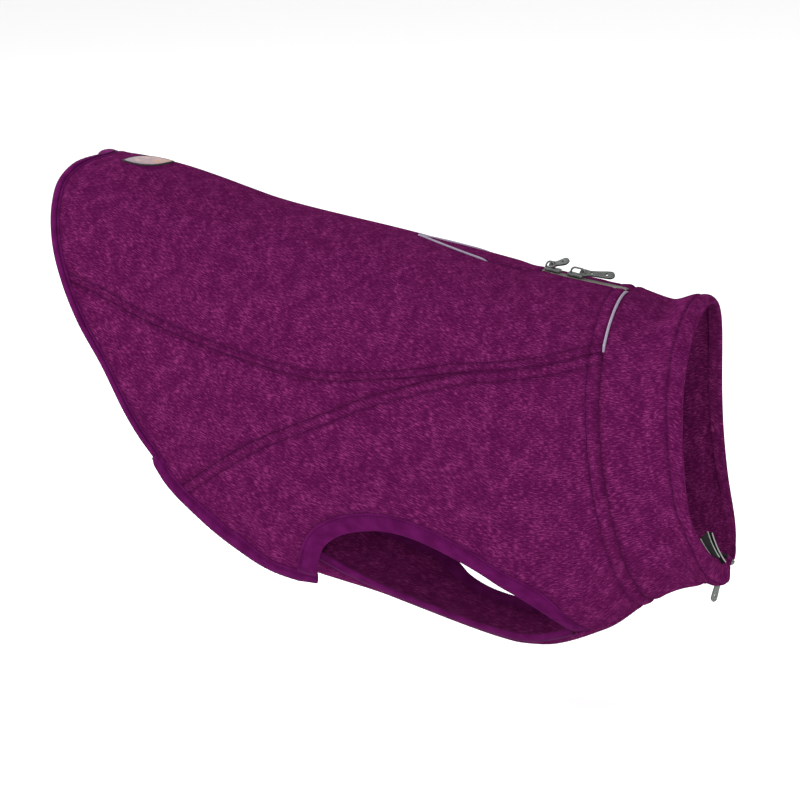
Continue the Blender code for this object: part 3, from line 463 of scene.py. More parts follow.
def pressedAndShaded(distance, stitchAt):
    # how flat the pile is pressed, with painted shade for the seam and stitch grooves, 0 to 1: most at the
    # seam and under the topstitch
    s = seamShape
    pressShade = s["pressShade" if stitchAt else "plainPressShade"] * bell(distance, s["pressShadeWidth"])
    if stitchAt:
        pressShade = pressShade + s["stitchPressShade"] * bell(distance - stitchAt, s["stitchPressShadeWidth"])
    return pressShade


def runOf(points):
    # the length from the first point to each
    return np.concatenate([[0], np.cumsum(np.linalg.norm(np.diff(points, axis=0), axis=1))])


def nearest(points, line):
    # distance from each point to the nearest of a line's close samples, and how far along the line that is
    run, batch = runOf(line), 9000
    distance, at = [], []
    for part in np.array_split(points.reshape(-1, 3), max(1, points.size // batch)):
        gap = ((part[:, None] - line[None])**2).sum(-1)
        row = gap.argmin(1)
        distance.append(np.sqrt(gap[np.arange(len(part)), row]))
        at.append(run[row])
    return [np.concatenate(found).reshape(points.shape[:-1]) for found in (distance, at)]


def seamsOf(cut, side, stitches):
    # the named lines of one side on the surface, each with the distance of its topstitch
    return [(cloth(cut[name][:, 0], cut[name][:, 1] * side), stitchAt) for name, stitchAt in stitches.items()]


def grainUv(along, share, turn=worn["grainTurn"]):
    # the cloth's own flat coordinates, turned to its grain
    across = share * worn["girth"]
    return np.stack([along * math.cos(turn) - across * math.sin(turn),
                     along * math.sin(turn) + across * math.cos(turn)], -1)


def middleSheet(along, share, seams, base=flat, uv=None):
    # the middle of a cut piece's wall with all that stands off the plain surface, its grain, and its pressed
    # pile with painted shade at the seams
    lift = creaseLift(along, share) + base(along, share)
    bare = cloth(along, share)
    pressShade = np.zeros(lift.shape)
    for line, stitchAt in seams:
        distance, run = nearest(bare, line)
        lift = lift + seamRoll(distance, stitchAt, run)
        pressShade = pressShade + pressedAndShaded(distance, stitchAt)
    points = cloth(along, share, lift - worn["wall"] / 2)
    return points, grainUv(along, share) if uv is None else uv, np.clip(pressShade, 0, 1)


mergeWithin, sliver = 2e-6, 1e-7  # in metres


def settled(meshes, merge=False, clean=False, split=False, outwards=True):
    # the meshes as one: coinciding points merged, slivers taken out, large faces split, faces turned outwards
    built = bmesh.new()
    for mesh in meshes:
        built.from_mesh(mesh)
    if merge:
        bmesh.ops.remove_doubles(built, verts=built.verts, dist=mergeWithin)
    if clean:
        bmesh.ops.dissolve_degenerate(built, edges=built.edges, dist=sliver)
    if split:
        bmesh.ops.triangulate(built, faces=[f for f in built.faces if len(f.verts) > 4])
    if outwards:
        bmesh.ops.recalc_face_normals(built, faces=built.faces)
        if built.calc_volume(signed=True) < 0:
            bmesh.ops.reverse_faces(built, faces=built.faces)
    built.to_mesh(meshes[0])
    built.free()
    meshes[0].shade_smooth()
    return meshes[0]


def meshOf(name, points, faces):
    # a mesh of points in millimetres
    mesh = bpy.data.meshes.new(name)
    mesh.from_pydata((points.reshape(-1, 3) * mm).tolist(), [], faces)
    return mesh


def gridMesh(name, points, uv=None, pressShade=None, closedAcross=False, closedAlong=False, capped=False):
    # quads over a grid of points in millimetres, with pressed pile and painted seam shade kept as a point
    # attribute; the points that coincide are merged
    rows, columns = points.shape[:2]
    index = np.arange(rows * columns).reshape(rows, columns)
    if closedAcross:
        index = np.concatenate([index, index[:, :1]], axis=1)
    if closedAlong:
        index = np.concatenate([index, index[:1]])
    quads = np.stack([index[:-1, :-1], index[1:, :-1], index[1:, 1:], index[:-1, 1:]], -1).reshape(-1, 4)
    faces = quads.tolist()
    if capped:
        faces += [index[0, :columns].tolist(), index[-1, :columns].tolist()[::-1]]
    mesh = meshOf(name, points, faces)
    if uv is not None:
        corner = np.zeros(len(mesh.loops), int)
        mesh.loops.foreach_get("vertex_index", corner)
        mesh.uv_layers.new(name="UVMap").data.foreach_set("uv", (uv.reshape(-1, 2) * mm)[corner].ravel())
    if pressShade is not None:
        mesh.attributes.new("pressShade", "FLOAT", "POINT").data.foreach_set("value", pressShade.ravel())
    return settled([mesh], merge=True, clean=True, split=capped, outwards=capped or closedAcross)


def tubeMesh(name, points, uv=None, pressShade=None):
    # a section carried along a path, closed round and shut at both ends
    return gridMesh(name, points, uv, pressShade, closedAcross=True, capped=True)


def place(thing, name):
    # an object at the origin
    thing = bpy.data.objects.new(name, thing)
    bpy.context.scene.collection.objects.link(thing)
    return thing


def newPiece(mesh, finish, nodes=(), body="garment"):
    # the mesh as a piece of the same name, in its finish, on its body
    piece = place(mesh, mesh.name)
    mesh.materials.append(finish)
    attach(piece, body)
    if nodes:
        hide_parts(*nodes)
    return piece


def thicken(piece, thickness, hint):
    # the grid is the middle of the wall; the hint is the way that its faces look
    normals = np.zeros(len(piece.data.polygons) * 3)
    piece.data.polygons.foreach_get("normal", normals)
    if (normals.reshape(-1, 3) @ np.asarray(hint, float)).sum() < 0:
        piece.data.flip_normals()
    wall = piece.modifiers.new("wall", "SOLIDIFY")
    wall.thickness, wall.offset, wall.use_even_offset = thickness * mm, 0.0, False


def linear(hexColour):
    # sRGB hex to linear
    parts = [int(hexColour[k:k + 2], 16) / 255 for k in (1, 3, 5)]
    return tuple(c / 12.92 if c <= 0.04045 else ((c + 0.055) / 1.055)**2.4 for c in parts) + (1.0,)


def setSockets(node, sockets):
    # another node's output is linked, a hex colour is turned linear, any other value is set as it is
    for key, value in sockets.items():
        if isinstance(value, bpy.types.NodeSocket):
            node.id_data.links.new(value, node.inputs[key])
        else:
            node.inputs[key].default_value = linear(value) if isinstance(value, str) else value


def addNode(tree, kind, settings, sockets):
    # one node with its settings, input values and incoming links
    node = tree.nodes.new(kind)
    for key, value in settings.items():
        setattr(node, key, value)
    setSockets(node, sockets)
    return node


def newMaterial(name, colour, roughness, metallic=0.0):
    # the material, its node tree and its shader
    made = bpy.data.materials.new(name)
    made.use_nodes = True
    tree = made.node_tree
    shader = tree.nodes["Principled BSDF"]
    setSockets(shader, {"Base Color": colour, "Roughness": roughness, "Metallic": metallic})
    return made, tree, shader


def setRamp(node, stops):
    # stops: (position, hex) pairs
    elements = node.color_ramp.elements
    while len(elements) < len(stops):
        elements.new(0.5)
    for element, (at, colour) in zip(elements, stops):
        element.position, element.color = at, linear(colour)
    return node.outputs["Color"]


def waveScale(pitch):
    # the Scale that gives a Wave texture one band every so many metres
    return math.pi / 10 / pitch


onUv = {"uv_map": "UVMap"}
onFlat = {"noise_dimensions": "2D"}
# the last colour darkens pressed pile and paints shade at the seams and stitches
fleeceLook = {
    "shadow": "#420a35", "ground": "#4b0f3b", "light": "#561645", "fleck": "#75285c", "pressedAndShaded": "#32082b",
    "blotch": 0.012, "blotchShare": 0.3, "yarnLong": 0.0042, "yarnShort": 0.00066, "fibre": 0.0006,
    "fibreTone": (0.78, 1.22), "pressShadeShare": 0.75, "pile": 0.0005,
}


def heatherFleece():
    # brushed polyester knit in melange yarn: short pale and dark flecks along the yarn, thicker in soft
    # blotches, matt, darker at seams and stitches by pressed pile and painted groove shade. The flecks are
    # drawn a little coarse
    look = fleeceLook
    made, tree, shader = newMaterial("heather_knit_fleece", look["ground"], 0.92)
    at = addNode(tree, "ShaderNodeUVMap", onUv, {}).outputs["UV"]
    wide = addNode(tree, "ShaderNodeTexNoise", onFlat,
                   {"Vector": at, "Scale": 1 / look["blotch"], "Detail": 2.0, "Roughness": 0.6})
    yarnSpace = addNode(tree, "ShaderNodeMapping", {},
                        {"Vector": at, "Scale": (1 / look["yarnLong"], 1 / look["yarnShort"], 1.0)})
    yarn = addNode(tree, "ShaderNodeTexNoise", onFlat, {"Vector": yarnSpace.outputs["Vector"], "Scale": 1.0,
                                                        "Detail": 3.0, "Roughness": 0.6, "Distortion": 0.3})
    fibre = addNode(tree, "ShaderNodeTexNoise", onFlat,
                    {"Vector": at, "Scale": 1 / look["fibre"], "Detail": 1.0})
    tone = addNode(tree, "ShaderNodeMath", {"operation": "MULTIPLY_ADD"},
                   {0: wide.outputs["Fac"], 1: look["blotchShare"], 2: yarn.outputs["Fac"]})
    flecks = setRamp(addNode(tree, "ShaderNodeValToRGB", {}, {"Fac": tone.outputs["Value"]}),
                     [(0.50, look["shadow"]), (0.63, look["ground"]), (0.72, look["light"]),
                      (0.84, look["fleck"])])
    low, high = look["fibreTone"]
    grain = addNode(tree, "ShaderNodeMapRange", {},
                    {"Value": fibre.outputs["Fac"], "To Min": low, "To Max": high})
    speckled = addNode(tree, "ShaderNodeMix", {"data_type": "RGBA", "blend_type": "MULTIPLY"},
                       {"Factor": 1.0, "A": flecks, "B": grain.outputs["Result"]})
    # pressed pile and painted shade along seams and stitches: a mix towards one dark colour
    pressShade = addNode(tree, "ShaderNodeAttribute", {"attribute_name": "pressShade"}, {})
    share = addNode(tree, "ShaderNodeMath", {"operation": "MULTIPLY"},
                    {0: pressShade.outputs["Fac"], 1: look["pressShadeShare"]})
    final = addNode(tree, "ShaderNodeMix", {"data_type": "RGBA"},
                    {"Factor": share.outputs["Value"], "A": speckled.outputs["Result"], "B": look["pressedAndShaded"]})
    height = addNode(tree, "ShaderNodeMath", {"operation": "ADD"},
                     {0: yarn.outputs["Fac"], 1: fibre.outputs["Fac"]})
    bump = addNode(tree, "ShaderNodeBump", {},
                   {"Height": height.outputs["Value"], "Strength": 0.6, "Distance": look["pile"]})
    setSockets(shader, {"Base Color": final.outputs["Result"], "Normal": bump.outputs["Normal"],
                        "Specular IOR Level": 0.0, "Sheen Weight": 0.04, "Sheen Roughness": 0.5,
                        "Sheen Tint": "#b0508f"})
    return made


def stretchBinding():
    # nylon-elastane fold-over binding: smooth, plain, matt, with fine cross ribs
    made, tree, shader = newMaterial("stretch_binding", "#4a0d40", 0.75)
    at = addNode(tree, "ShaderNodeUVMap", onUv, {}).outputs["UV"]
    ribs = addNode(tree, "ShaderNodeTexWave", {"wave_type": "BANDS", "bands_direction": "X"},
                   {"Vector": at, "Scale": waveScale(0.0012), "Distortion": 0.8, "Detail": 1.0})
    cloud = addNode(tree, "ShaderNodeTexNoise", onFlat, {"Vector": at, "Scale": 1 / 0.009, "Detail": 2.0})
    tone = addNode(tree, "ShaderNodeValToRGB", {}, {"Fac": cloud.outputs["Fac"]})
    bump = addNode(tree, "ShaderNodeBump", {},
                   {"Height": ribs.outputs["Fac"], "Strength": 0.4, "Distance": 0.0002})
    setSockets(shader, {"Base Color": setRamp(tone, [(0.3, "#450b3b"), (0.7, "#521147")]),
                        "Normal": bump.outputs["Normal"], "Specular IOR Level": 0.0, "Sheen Weight": 0.03,
                        "Sheen Roughness": 0.4})
    return made


def wovenTape(name, dark, light):
    # polyester zip tape: a tight herringbone weave, seen as fine slanting threads
    made, tree, shader = newMaterial(name, dark, 0.8)
    at = addNode(tree, "ShaderNodeTexCoord", {}, {}).outputs["Object"]
    weave = addNode(tree, "ShaderNodeTexWave", {"bands_direction": "DIAGONAL"},
                    {"Vector": at, "Scale": waveScale(0.0011), "Distortion": 1.0}).outputs["Fac"]
    tone = addNode(tree, "ShaderNodeValToRGB", {}, {"Fac": weave})
    bump = addNode(tree, "ShaderNodeBump", {}, {"Height": weave, "Strength": 0.5, "Distance": 0.0002})
    setSockets(shader, {"Base Color": setRamp(tone, [(0.2, dark), (0.8, light)]),
                        "Normal": bump.outputs["Normal"], "Specular IOR Level": 0.2})
    return made


def castMetal(name, colour, rubbed, roughness):
    # zinc die casting, plated and tumbled: satin, with faint scuffs that vary its tone and roughness
    made, tree, shader = newMaterial(name, colour, roughness, 1.0)
    at = addNode(tree, "ShaderNodeTexCoord", {}, {}).outputs["Object"]
    scuff = addNode(tree, "ShaderNodeTexNoise", {},
                    {"Vector": at, "Scale": 900.0, "Detail": 4.0}).outputs["Fac"]
    tone = addNode(tree, "ShaderNodeValToRGB", {}, {"Fac": scuff})
    rough = addNode(tree, "ShaderNodeMapRange", {},
                    {"Value": scuff, "To Min": roughness - 0.08, "To Max": roughness + 0.15})
    bump = addNode(tree, "ShaderNodeBump", {}, {"Height": scuff, "Strength": 0.2, "Distance": 0.00008})
    setSockets(shader, {"Base Color": setRamp(tone, [(0.35, colour), (0.7, rubbed)]),
                        "Roughness": rough.outputs["Result"], "Normal": bump.outputs["Normal"]})
    return made


def plainThread(name, colour):
    # spun polyester thread: two plies, matt
    made, tree, shader = newMaterial(name, colour, 0.85)
    at = addNode(tree, "ShaderNodeTexCoord", {}, {}).outputs["Object"]
    ply = addNode(tree, "ShaderNodeTexNoise", {}, {"Vector": at, "Scale": 1 / 0.0008, "Detail": 2.0})
    tone = addNode(tree, "ShaderNodeMix", {"data_type": "RGBA", "blend_type": "MULTIPLY"},
                   {"Factor": 0.4, "A": colour, "B": ply.outputs["Fac"]})
    setSockets(shader, {"Base Color": tone.outputs["Result"], "Specular IOR Level": 0.0})
    return made


def reflectiveCloth():
    # glass-bead coated piping: pale lavender grey, satin, finely grained
    made, tree, shader = newMaterial("reflective_piping", "#84778c", 0.55)
    at = addNode(tree, "ShaderNodeTexCoord", {}, {}).outputs["Object"]
    beads = addNode(tree, "ShaderNodeTexNoise", {},
                    {"Vector": at, "Scale": 1 / 0.0007, "Detail": 2.0}).outputs["Fac"]
    tone = addNode(tree, "ShaderNodeValToRGB", {}, {"Fac": beads})
    bump = addNode(tree, "ShaderNodeBump", {}, {"Height": beads, "Strength": 0.3, "Distance": 0.0001})
    setSockets(shader, {"Base Color": setRamp(tone, [(0.3, "#74677c"), (0.7, "#94879b")]),
                        "Normal": bump.outputs["Normal"]})
    return made


def labelSatin():
    # woven satin ribbon, bare: fine ribs across, its colour running from lavender grey to peach
    made, tree, shader = newMaterial("woven_label_satin", "#a58f98", 0.55)
    at = addNode(tree, "ShaderNodeUVMap", onUv, {}).outputs["UV"]
    ends = addNode(tree, "ShaderNodeSeparateXYZ", {}, {"Vector": at})
    shade = addNode(tree, "ShaderNodeTexNoise", onFlat, {"Vector": at, "Scale": 1 / 0.006, "Detail": 2.0})
    run = addNode(tree, "ShaderNodeMath", {"operation": "MULTIPLY_ADD"},
                  {0: ends.outputs["X"], 1: 14.0, 2: shade.outputs["Fac"]})
    tone = addNode(tree, "ShaderNodeValToRGB", {}, {"Fac": run.outputs["Value"]})
    ribs = addNode(tree, "ShaderNodeTexWave", {"bands_direction": "Y"},
                   {"Vector": at, "Scale": waveScale(0.0009), "Distortion": 0.5})
    bump = addNode(tree, "ShaderNodeBump", {},
                   {"Height": ribs.outputs["Fac"], "Strength": 0.4, "Distance": 0.00015})
    setSockets(shader, {"Base Color": setRamp(tone, [(0.35, "#83757f"), (0.6, "#a58a88"), (0.85, "#bb8660")]),
                        "Normal": bump.outputs["Normal"]})
    return made


fleece = heatherFleece()
binding = stretchBinding()
threadPlum = plainThread("plum_thread", "#420d3a")
leashTape = wovenTape("grey_zip_tape", "#6c6763", "#8f8984")
neckTape = wovenTape("dark_zip_tape", "#0e0f0f", "#1f2120")
leashTeeth = plainThread("grey_coil_nylon", "#7c7a76")
neckTeeth = plainThread("dark_coil_nylon", "#151716")
gunmetal = castMetal("gunmetal_plating", "#5a5d5b", "#747775", 0.45)
silver = castMetal("nickel_plating", "#666966", "#7d807d", 0.5)
pipingCloth = reflectiveCloth()
labelCloth = labelSatin()
labelEdge = plainThread("dark_label_edge", "#3d3a3d")
selvedge = plainThread("grey_selvedge", "#9a9c99")
print("materials made")


# cells of each piece's grid, for each stretch down it and then across it
cells = {"back": ([84, 40, 40], [60]), "inset": (70, [24]), "gusset": ([110], [44]),
         "front": ([110, 60], [64]), "chest": ([90, 40], [30])}
evening = {"rounds": 60, "grid": (27, 8)}


def graded(breaks, counts, tightStart=True, tightEnd=True):
    # fractions 0 to 1 through the breaks, crowded towards the sewn ends
    parts = []
    for k, count in enumerate(counts):
        u = np.linspace(0, 1, count + 1)
        first, last = k == 0 and tightStart, k == len(counts) - 1 and tightEnd
        if first and last:
            u = u - 0.8 * np.sin(2 * np.pi * u) / (2 * np.pi)
        elif first:
            u = u**1.7
        elif last:
            u = 1 - (1 - u)**1.7
        parts.append(breaks[k] + (breaks[k + 1] - breaks[k]) * u)
    return chained(*parts)


def patch(sideA, sideB, start, end, rows, columns):
    # Coons surface over four sides of places: the two ruled surfaces less the one through the corners
    a, b, s, e = sampled(sideA, rows), sampled(sideB, rows), sampled(start, columns), sampled(end, columns)
    t, c = rows[:, None, None], columns[None, :, None]
    ruled = (1 - c) * a[:, None] + c * b[:, None] + (1 - t) * s[None] + t * e[None]
    return ruled - ((1 - t) * (1 - c) * a[0] + (1 - t) * c * b[0] + t * (1 - c) * a[-1] + t * c * b[-1])


def evened(places, sides, rows, columns):
    # the patch's lines kept apart: its coarse grid is averaged in rounds, and the shift added to the fine one
    down, over = evening["grid"]
    rough = patch(*sides, np.linspace(0, 1, down + 1), np.linspace(0, 1, over + 1))
    eased = rough.copy()
    for _ in range(evening["rounds"]):
        eased[1:-1, 1:-1] = (eased[:-2, 1:-1] + eased[2:, 1:-1] + eased[1:-1, :-2] + eased[1:-1, 2:]) / 4
    downRows = sampled((eased - rough).reshape(down + 1, -1), rows)
    across = downRows.reshape(len(rows), over + 1, 2).transpose(1, 0, 2).reshape(over + 1, -1)
    return places + sampled(across, columns).reshape(len(columns), len(rows), 2).transpose(1, 0, 2)


def clothPiece(name, node, halves, hint):
    # one cut piece: its middle sheets merged, and Solidify for its wall
    meshes = [gridMesh(name, *half) for half in halves]
    mesh = settled(meshes, merge=True) if len(meshes) > 1 else meshes[0]
    piece = newPiece(mesh, fleece, [node])
    thicken(piece, worn["wall"], hint)
    return piece


def backPanel():
    # the slot's edges part along the zip, so the two halves are built on their own and merged behind it
    cut = cutOf["right"]
    last = steps["centre"] + steps["leaf"] + steps["slot"]
    down, over = cells["back"]
    rows = graded([0, steps["centre"] / last, (steps["centre"] + steps["leaf"]) / last, 1], down)
    places = patch(cut["backCentre"], cut["backSide"], cut["backHem"], cut["seamBack"], rows,
                   graded([0, 1], over, False))
    stitches = {"backHem": 0, "backSide": topstitch["upper"], "seamBack": topstitch["collarSeam"],
                "leafLine": 0}
    halves = [middleSheet(places[..., 0], places[..., 1] * side, seamsOf(cut, side, stitches))
              for side in (leftSide, rightSide)]
    middle = (halves[0][0][:, 0] + halves[1][0][:, 0]) / 2
    shut = np.abs(places[:, 0, 1]) < 1e-9
    for points, _, _ in halves:
        points[shut, 0] = middle[shut]
    piece = clothPiece("back_panel_cloth", "back_panel", halves, (0, 0, 1))


def backInset():
    # both halves of the leaf in one grid, mirrored about the centre back
    cut, (down, over) = cutOf["right"], cells["inset"]
    leaf = cut["leafSide"]
    centre = straight(leaf[0], (leaf[-1, 0], 0), 60)
    places = patch(centre, leaf, np.repeat(leaf[:1], 2, axis=0), straight(centre[-1], leaf[-1], 1),
                   np.linspace(0, 1, down + 1), graded([0, 1], over, False))
    both = np.concatenate([places[:, ::-1], places[:, 1:] * (1, -1)], axis=1)
    seams = [seam for side in (leftSide, rightSide) for seam in seamsOf(cut, side, {"leafLine": 0})]
    piece = clothPiece("back_inset_cloth", "back_inset", [middleSheet(both[..., 0], both[..., 1], seams)],
                       (0, 0, 1))


def flaredPiece(part, name, side, cut, places, stitches):
    # one piece of a side, which hangs off the strap
    along, share = places[..., 0], places[..., 1] * side
    sheet = middleSheet(along, share, seamsOf(cut, side, stitches), flare)
    hint = outward(along, share).reshape(-1, 3).mean(0)
    return clothPiece(part + "_cloth_" + name, part + "_" + name, [sheet], hint)


def sidePieces(name, side):
    # the gusset runs to a point at its tip; the side front has one corner drawn to a point
    cut = dict(cutOf["right"])
    tip = np.repeat(cut["gussetUpper"][-1:], 2, axis=0)
    down, over = cells["gusset"]
    places = patch(cut["gussetUpper"], cut["gussetLower"], cut["gussetHem"], tip, graded([0, 1], down),
                   graded([0, 1], over))
    gusset = flaredPiece("side_gusset", name, side, cut, places,
                         {"gussetUpper": 0, "gussetLower": 0, "gussetHem": 0})
    start = np.repeat(cut["frontUpper"][:1], 2, axis=0)
    cut["bottom"] = chained(cut["sideHem"], cut["armSide"], cut["frontSeam"])
    cut["bottom"][0] = start[0]
    down, over = cells["front"]
    rows = graded([0, steps["joined"] / (steps["joined"] + steps["single"]), 1], down)
    columns = graded([0, 1], over)
    sides = cut["frontUpper"], cut["bottom"], start, cut["seamFront"]
    places = evened(patch(*sides, rows, columns), sides, rows, columns)
    front = flaredPiece("side_front", name, side, cut, places, {
        "frontUpper": topstitch["lower"], "bottom": 0, "seamFront": topstitch["collarSeam"]})


def chestPanel():
    # the two straps differ a little, so each half has its own edge; they meet on the centre line
    halves = []
    down, over = cells["chest"]
    rows = graded([0, steps["arm"] / (steps["arm"] + steps["chest"] + 1), 1], down)
    for name, side in (("right", rightSide), ("left", leftSide)):
        cut = dict(cutOf[name])
        cut["edge"] = chained(cut["strapSide"], cut["chestSide"])
        centre = straight(cut["strapRear"][-1], cut["seamChest"][-1], 200)
        places = patch(cut["edge"], centre, cut["strapRear"], cut["seamChest"], rows,
                       graded([0, 1], over, True, False))
        along, share = places[..., 0], places[..., 1] * side
        seams = seamsOf(cut, side, {"edge": 0, "strapRear": 0, "seamChest": topstitch["collarSeam"]})
        halves.append(middleSheet(along, share, seams, strapTuck, grainUv(along, share - side, 0.0)))
    middle = (halves[0][0][:, -1] + halves[1][0][:, -1]) / 2
    for points, _, _ in halves:
        points[:, -1] = middle
    whole = [np.concatenate([r, l[:, ::-1][:, 1:]], axis=1) for r, l in zip(*halves)]
    piece = clothPiece("chest_panel_cloth", "chest_panel", [whole], (0, 0, -1))


collarShape = {
    "rim": 70.0, "hem": 13.0, "fold": 2.6, "sectionPoints": 170, "columns": 150, "end": 0.985,
    # the rim runs further forward beside the zip and falls back at it, from one share to another
    "rimDrop": {leftSide: 2.0, rightSide: 9.5, "shares": (0.62, 0.77)},
    "rimPast": {leftSide: 1.5, rightSide: 15.0, "shares": (0.82, 0.93)},
    "rimNotch": {leftSide: 8.0, rightSide: 19.0, "shares": (0.93, 0.985)},
    "puff": {leftSide: 3.0, rightSide: 6.5, "along": 46.0, "length": 25.0, "share": 0.93, "width": 0.05},
    "roll": {leftSide: 10.0, rightSide: 17.0, "reach": 16.0, "fades": (0.925, 0.985)},
    "rollShares": {leftSide: (0.78, 0.91), rightSide: (0.66, 0.90)},
    "rollBack": {leftSide: 0.0, rightSide: 12.0, "shares": (0.82, 0.93)},
    # relief by its distance from the rim; the rim's topstitch also darkens the cloth by pressed pile and
    # painted shade
    "grain": 0.8, "puckerPitch": 5.2, "stitch": (0.95, 1.3), "ridge": (0.55, 6.5, 4.5), "pucker": 0.2,
    "valley": (0.12, 18, 4), "stitchPressShade": (0.8, 1.5),
}


def rim(share, side):
    # how far along the cloth the rim lies: its plain place, and three ramps beside the zip
    c = collarShape
    drop, past, notch = (c[key][side] * ramp(share, *c[key]["shares"])
                         for key in ("rimDrop", "rimPast", "rimNotch"))
    return c["rim"] + drop + past - notch


def smoothRing(rows, count):
    # a closed Catmull-Rom curve through the rows
    rows = np.asarray(rows, float)
    t = np.linspace(0, len(rows), count, endpoint=False)
    k = t.astype(int)
    u = (t - k)[:, None]
    before, here, after, beyond = (rows[(k + d) % len(rows)] for d in (-1, 0, 1, 2))
    return here + 0.5 * u * (after - before + u * (2 * before - 5 * here + 4 * after - beyond
                                                   + u * (3 * (here - after) + beyond - before)))


def throatRoll(along, share, side):
    # beside the zip the doubled rim pushes the collar out and curls in towards the throat, more on the
    # right: how far back along the cloth, and how far off it
    c = collarShape
    puff, roll, back = c["puff"], c["roll"], c["rollBack"]
    lift = puff[side] * bell(along - puff["along"], puff["length"])
    lift = lift * bell(share - puff["share"], puff["width"])
    rolled = np.clip(1 - (rim(share, side) - along) / roll["reach"], 0, 1)**2
    rolled = rolled * (1 - ramp(share, *roll["fades"]))
    turned = ramp(share, *c["rollShares"][side])
    return -back[side] * rolled * ramp(share, *back["shares"]), lift - roll[side] * rolled * turned


def collarPiece():
    # a turned section carried round the neck; each column runs from the seam over the rim and back inside
    c, wall = collarShape, worn["wall"]
    inside, hem = -wall - c["fold"], c["hem"] / c["rim"]
    section = smoothRing([
        (0.006, -0.6), (0.06, 0), (0.16, 0), (0.36, 0), (0.58, 0), (0.78, 0.3), (0.91, 0.7), (0.975, -0.3),
        (1.0, -2.4), (0.975, -4.5), (0.92, inside), (1 - hem + 0.03, inside), (1 - hem - 0.008, -wall - 0.3),
        (0.6, -wall), (0.3, -wall), (0.05, -wall), (0.006, -1.8)], c["sectionPoints"])
    way, share = np.meshgrid(np.maximum(section[:, 0], 0.002), straight(0, c["end"], c["columns"]))
    height = np.broadcast_to(section[:, 1], share.shape)
    outer = ramp(height, -1.6, -0.6)
    halves = []
    for side in (leftSide, rightSide):
        along = way * rim(share, side)
        own = share.copy()
        own[-1] = 1 - cutSizes["zipSlot"] / girth(along[-1], 1.0)
        run = own * worn["girth"] * c["grain"]
        fromRim = rim(own, side) - along
        wave = np.sin(2 * np.pi * run / c["puckerPitch"] + 1.8 * np.sin(run / 13))
        (groove, grooveWidth), (ridge, ridgeAt, ridgeWidth), (valley, valleyAt, valleyWidth) = (
            c[key] for key in ("stitch", "ridge", "valley"))
        relief = (seamRoll(along, 0) * 0.8 - groove * bell(fromRim - topstitch["rim"], grooveWidth)
                  + (ridge + c["pucker"] * wave) * bell(fromRim - ridgeAt, ridgeWidth)
                  - valley * wave * bell(fromRim - valleyAt, valleyWidth))
        back, puff = throatRoll(along, own, side)
        lift = height + creaseLift(along, own * side) + relief * outer + puff
        # pressed pile and painted shade along the rim's topstitch, on the outer face only
        stitchShade = c["stitchPressShade"][0] * bell(fromRim - topstitch["rim"], c["stitchPressShade"][1])
        halves.append((cloth(along + back, own * side, lift),
                       grainUv(along + (1 - outer) * 5, own * side * c["grain"], 0.0),
                       np.clip(pressedAndShaded(along, 0) + stitchShade, 0, 1) * outer))
    whole = [np.concatenate([l[::-1], r[1:]]) for l, r in zip(*halves)]
    piece = newPiece(tubeMesh("collar_cloth", *whole), fleece, ["collar"])


backPanel()
backInset()
print("back made")
for name, side in sideNames.items():
    sidePieces(name, side)
chestPanel()
collarPiece()
print("cloth pieces made")

bandShape = {"thick": 3.2, "swell": 0.45, "round": 1.5, "innerRound": 0.7, "pucker": 0.12, "puckerPitch": 4.2,
             "step": 1.6, "groove": [(1.2, 0), (0.5, -0.1), (0, -0.28), (-0.5, -0.1), (-1.2, 0)],
             "crown": [(0.72, 0.45), (0.5, 0.75), (0.28, 0.5)]}
bandLines = []


def ring(radiusX, radiusY, count=12, middle=(0, 0)):
    # an ellipse
    turn = np.linspace(0, 2 * np.pi, count, endpoint=False)
    return np.stack([middle[0] + radiusX * np.cos(turn), middle[1] + radiusY * np.sin(turn)], -1)


def arc(middle, radiusX, radiusY, start, end, count):
    # part of an ellipse, from one angle to another in degrees
    turn = np.radians(np.linspace(start, end, count))
    return np.stack([middle[0] + radiusX * np.cos(turn), middle[1] + radiusY * np.sin(turn)], -1)


def bandSection(width):
    # a rounded box: full round at the free edge, small rounds at the sewn edge; (share of width, height)
    b, r = bandShape, bandShape["innerRound"]
    top, low = b["swell"], b["swell"] - b["thick"]
    middle = (top + low) / 2
    return np.concatenate([
        arc((b["round"], middle), b["round"], top - middle, 90, 270, 9),
        arc((width - r, low + r), r, r, -90, 0, 4),
        arc((width - r, top - r), r, r, 0, 90, 4),
        np.array(b["groove"]) + (width - topstitch["band"], top),
        np.array(b["crown"]) * (width, 1) + (0, top)]) / (width, 1)


def bandPiece(name, node, width, runs, base=flat):
    # a folded binding carried along its edge; runs are (outer line, inner line, side)
    b, section = bandShape, bandSection(width)
    rings, uvs = [], []
    for outer, inner, side in runs:
        t = np.linspace(0, 1, int(lengths(outer)[-1] / b["step"]))
        outer, inner = sampled(outer, t), sampled(inner, t)
        places = outer[:, None] + (inner - outer)[:, None] * section[None, :, :1]
        along, share = places[..., 0], places[..., 1] * side
        run = lengths(outer)[:, None]
        ripple = b["pucker"] * np.sin(run * 2 * np.pi / b["puckerPitch"] + 2 * np.sin(run / 17))
        lift = section[:, 1] + ripple * ramp(section[:, 1], -1.2, 0.3) + creaseLift(along, share)
        rings.append(cloth(along, share, lift + base(along, share)))
        uvs.append(np.stack([run + 0 * along, section[:, 0] * width + 0 * along], -1))
        bandLines.append((outer, inner, side, width, base))
    if len(rings) == 2:
        rings = [np.concatenate([rings[0][::-1], rings[1][1:]])]
        uvs = [np.concatenate([-uvs[0][::-1] * (1, -1), uvs[1][1:]])]
    newPiece(tubeMesh(name, rings[0], uvs[0]), binding, [node])


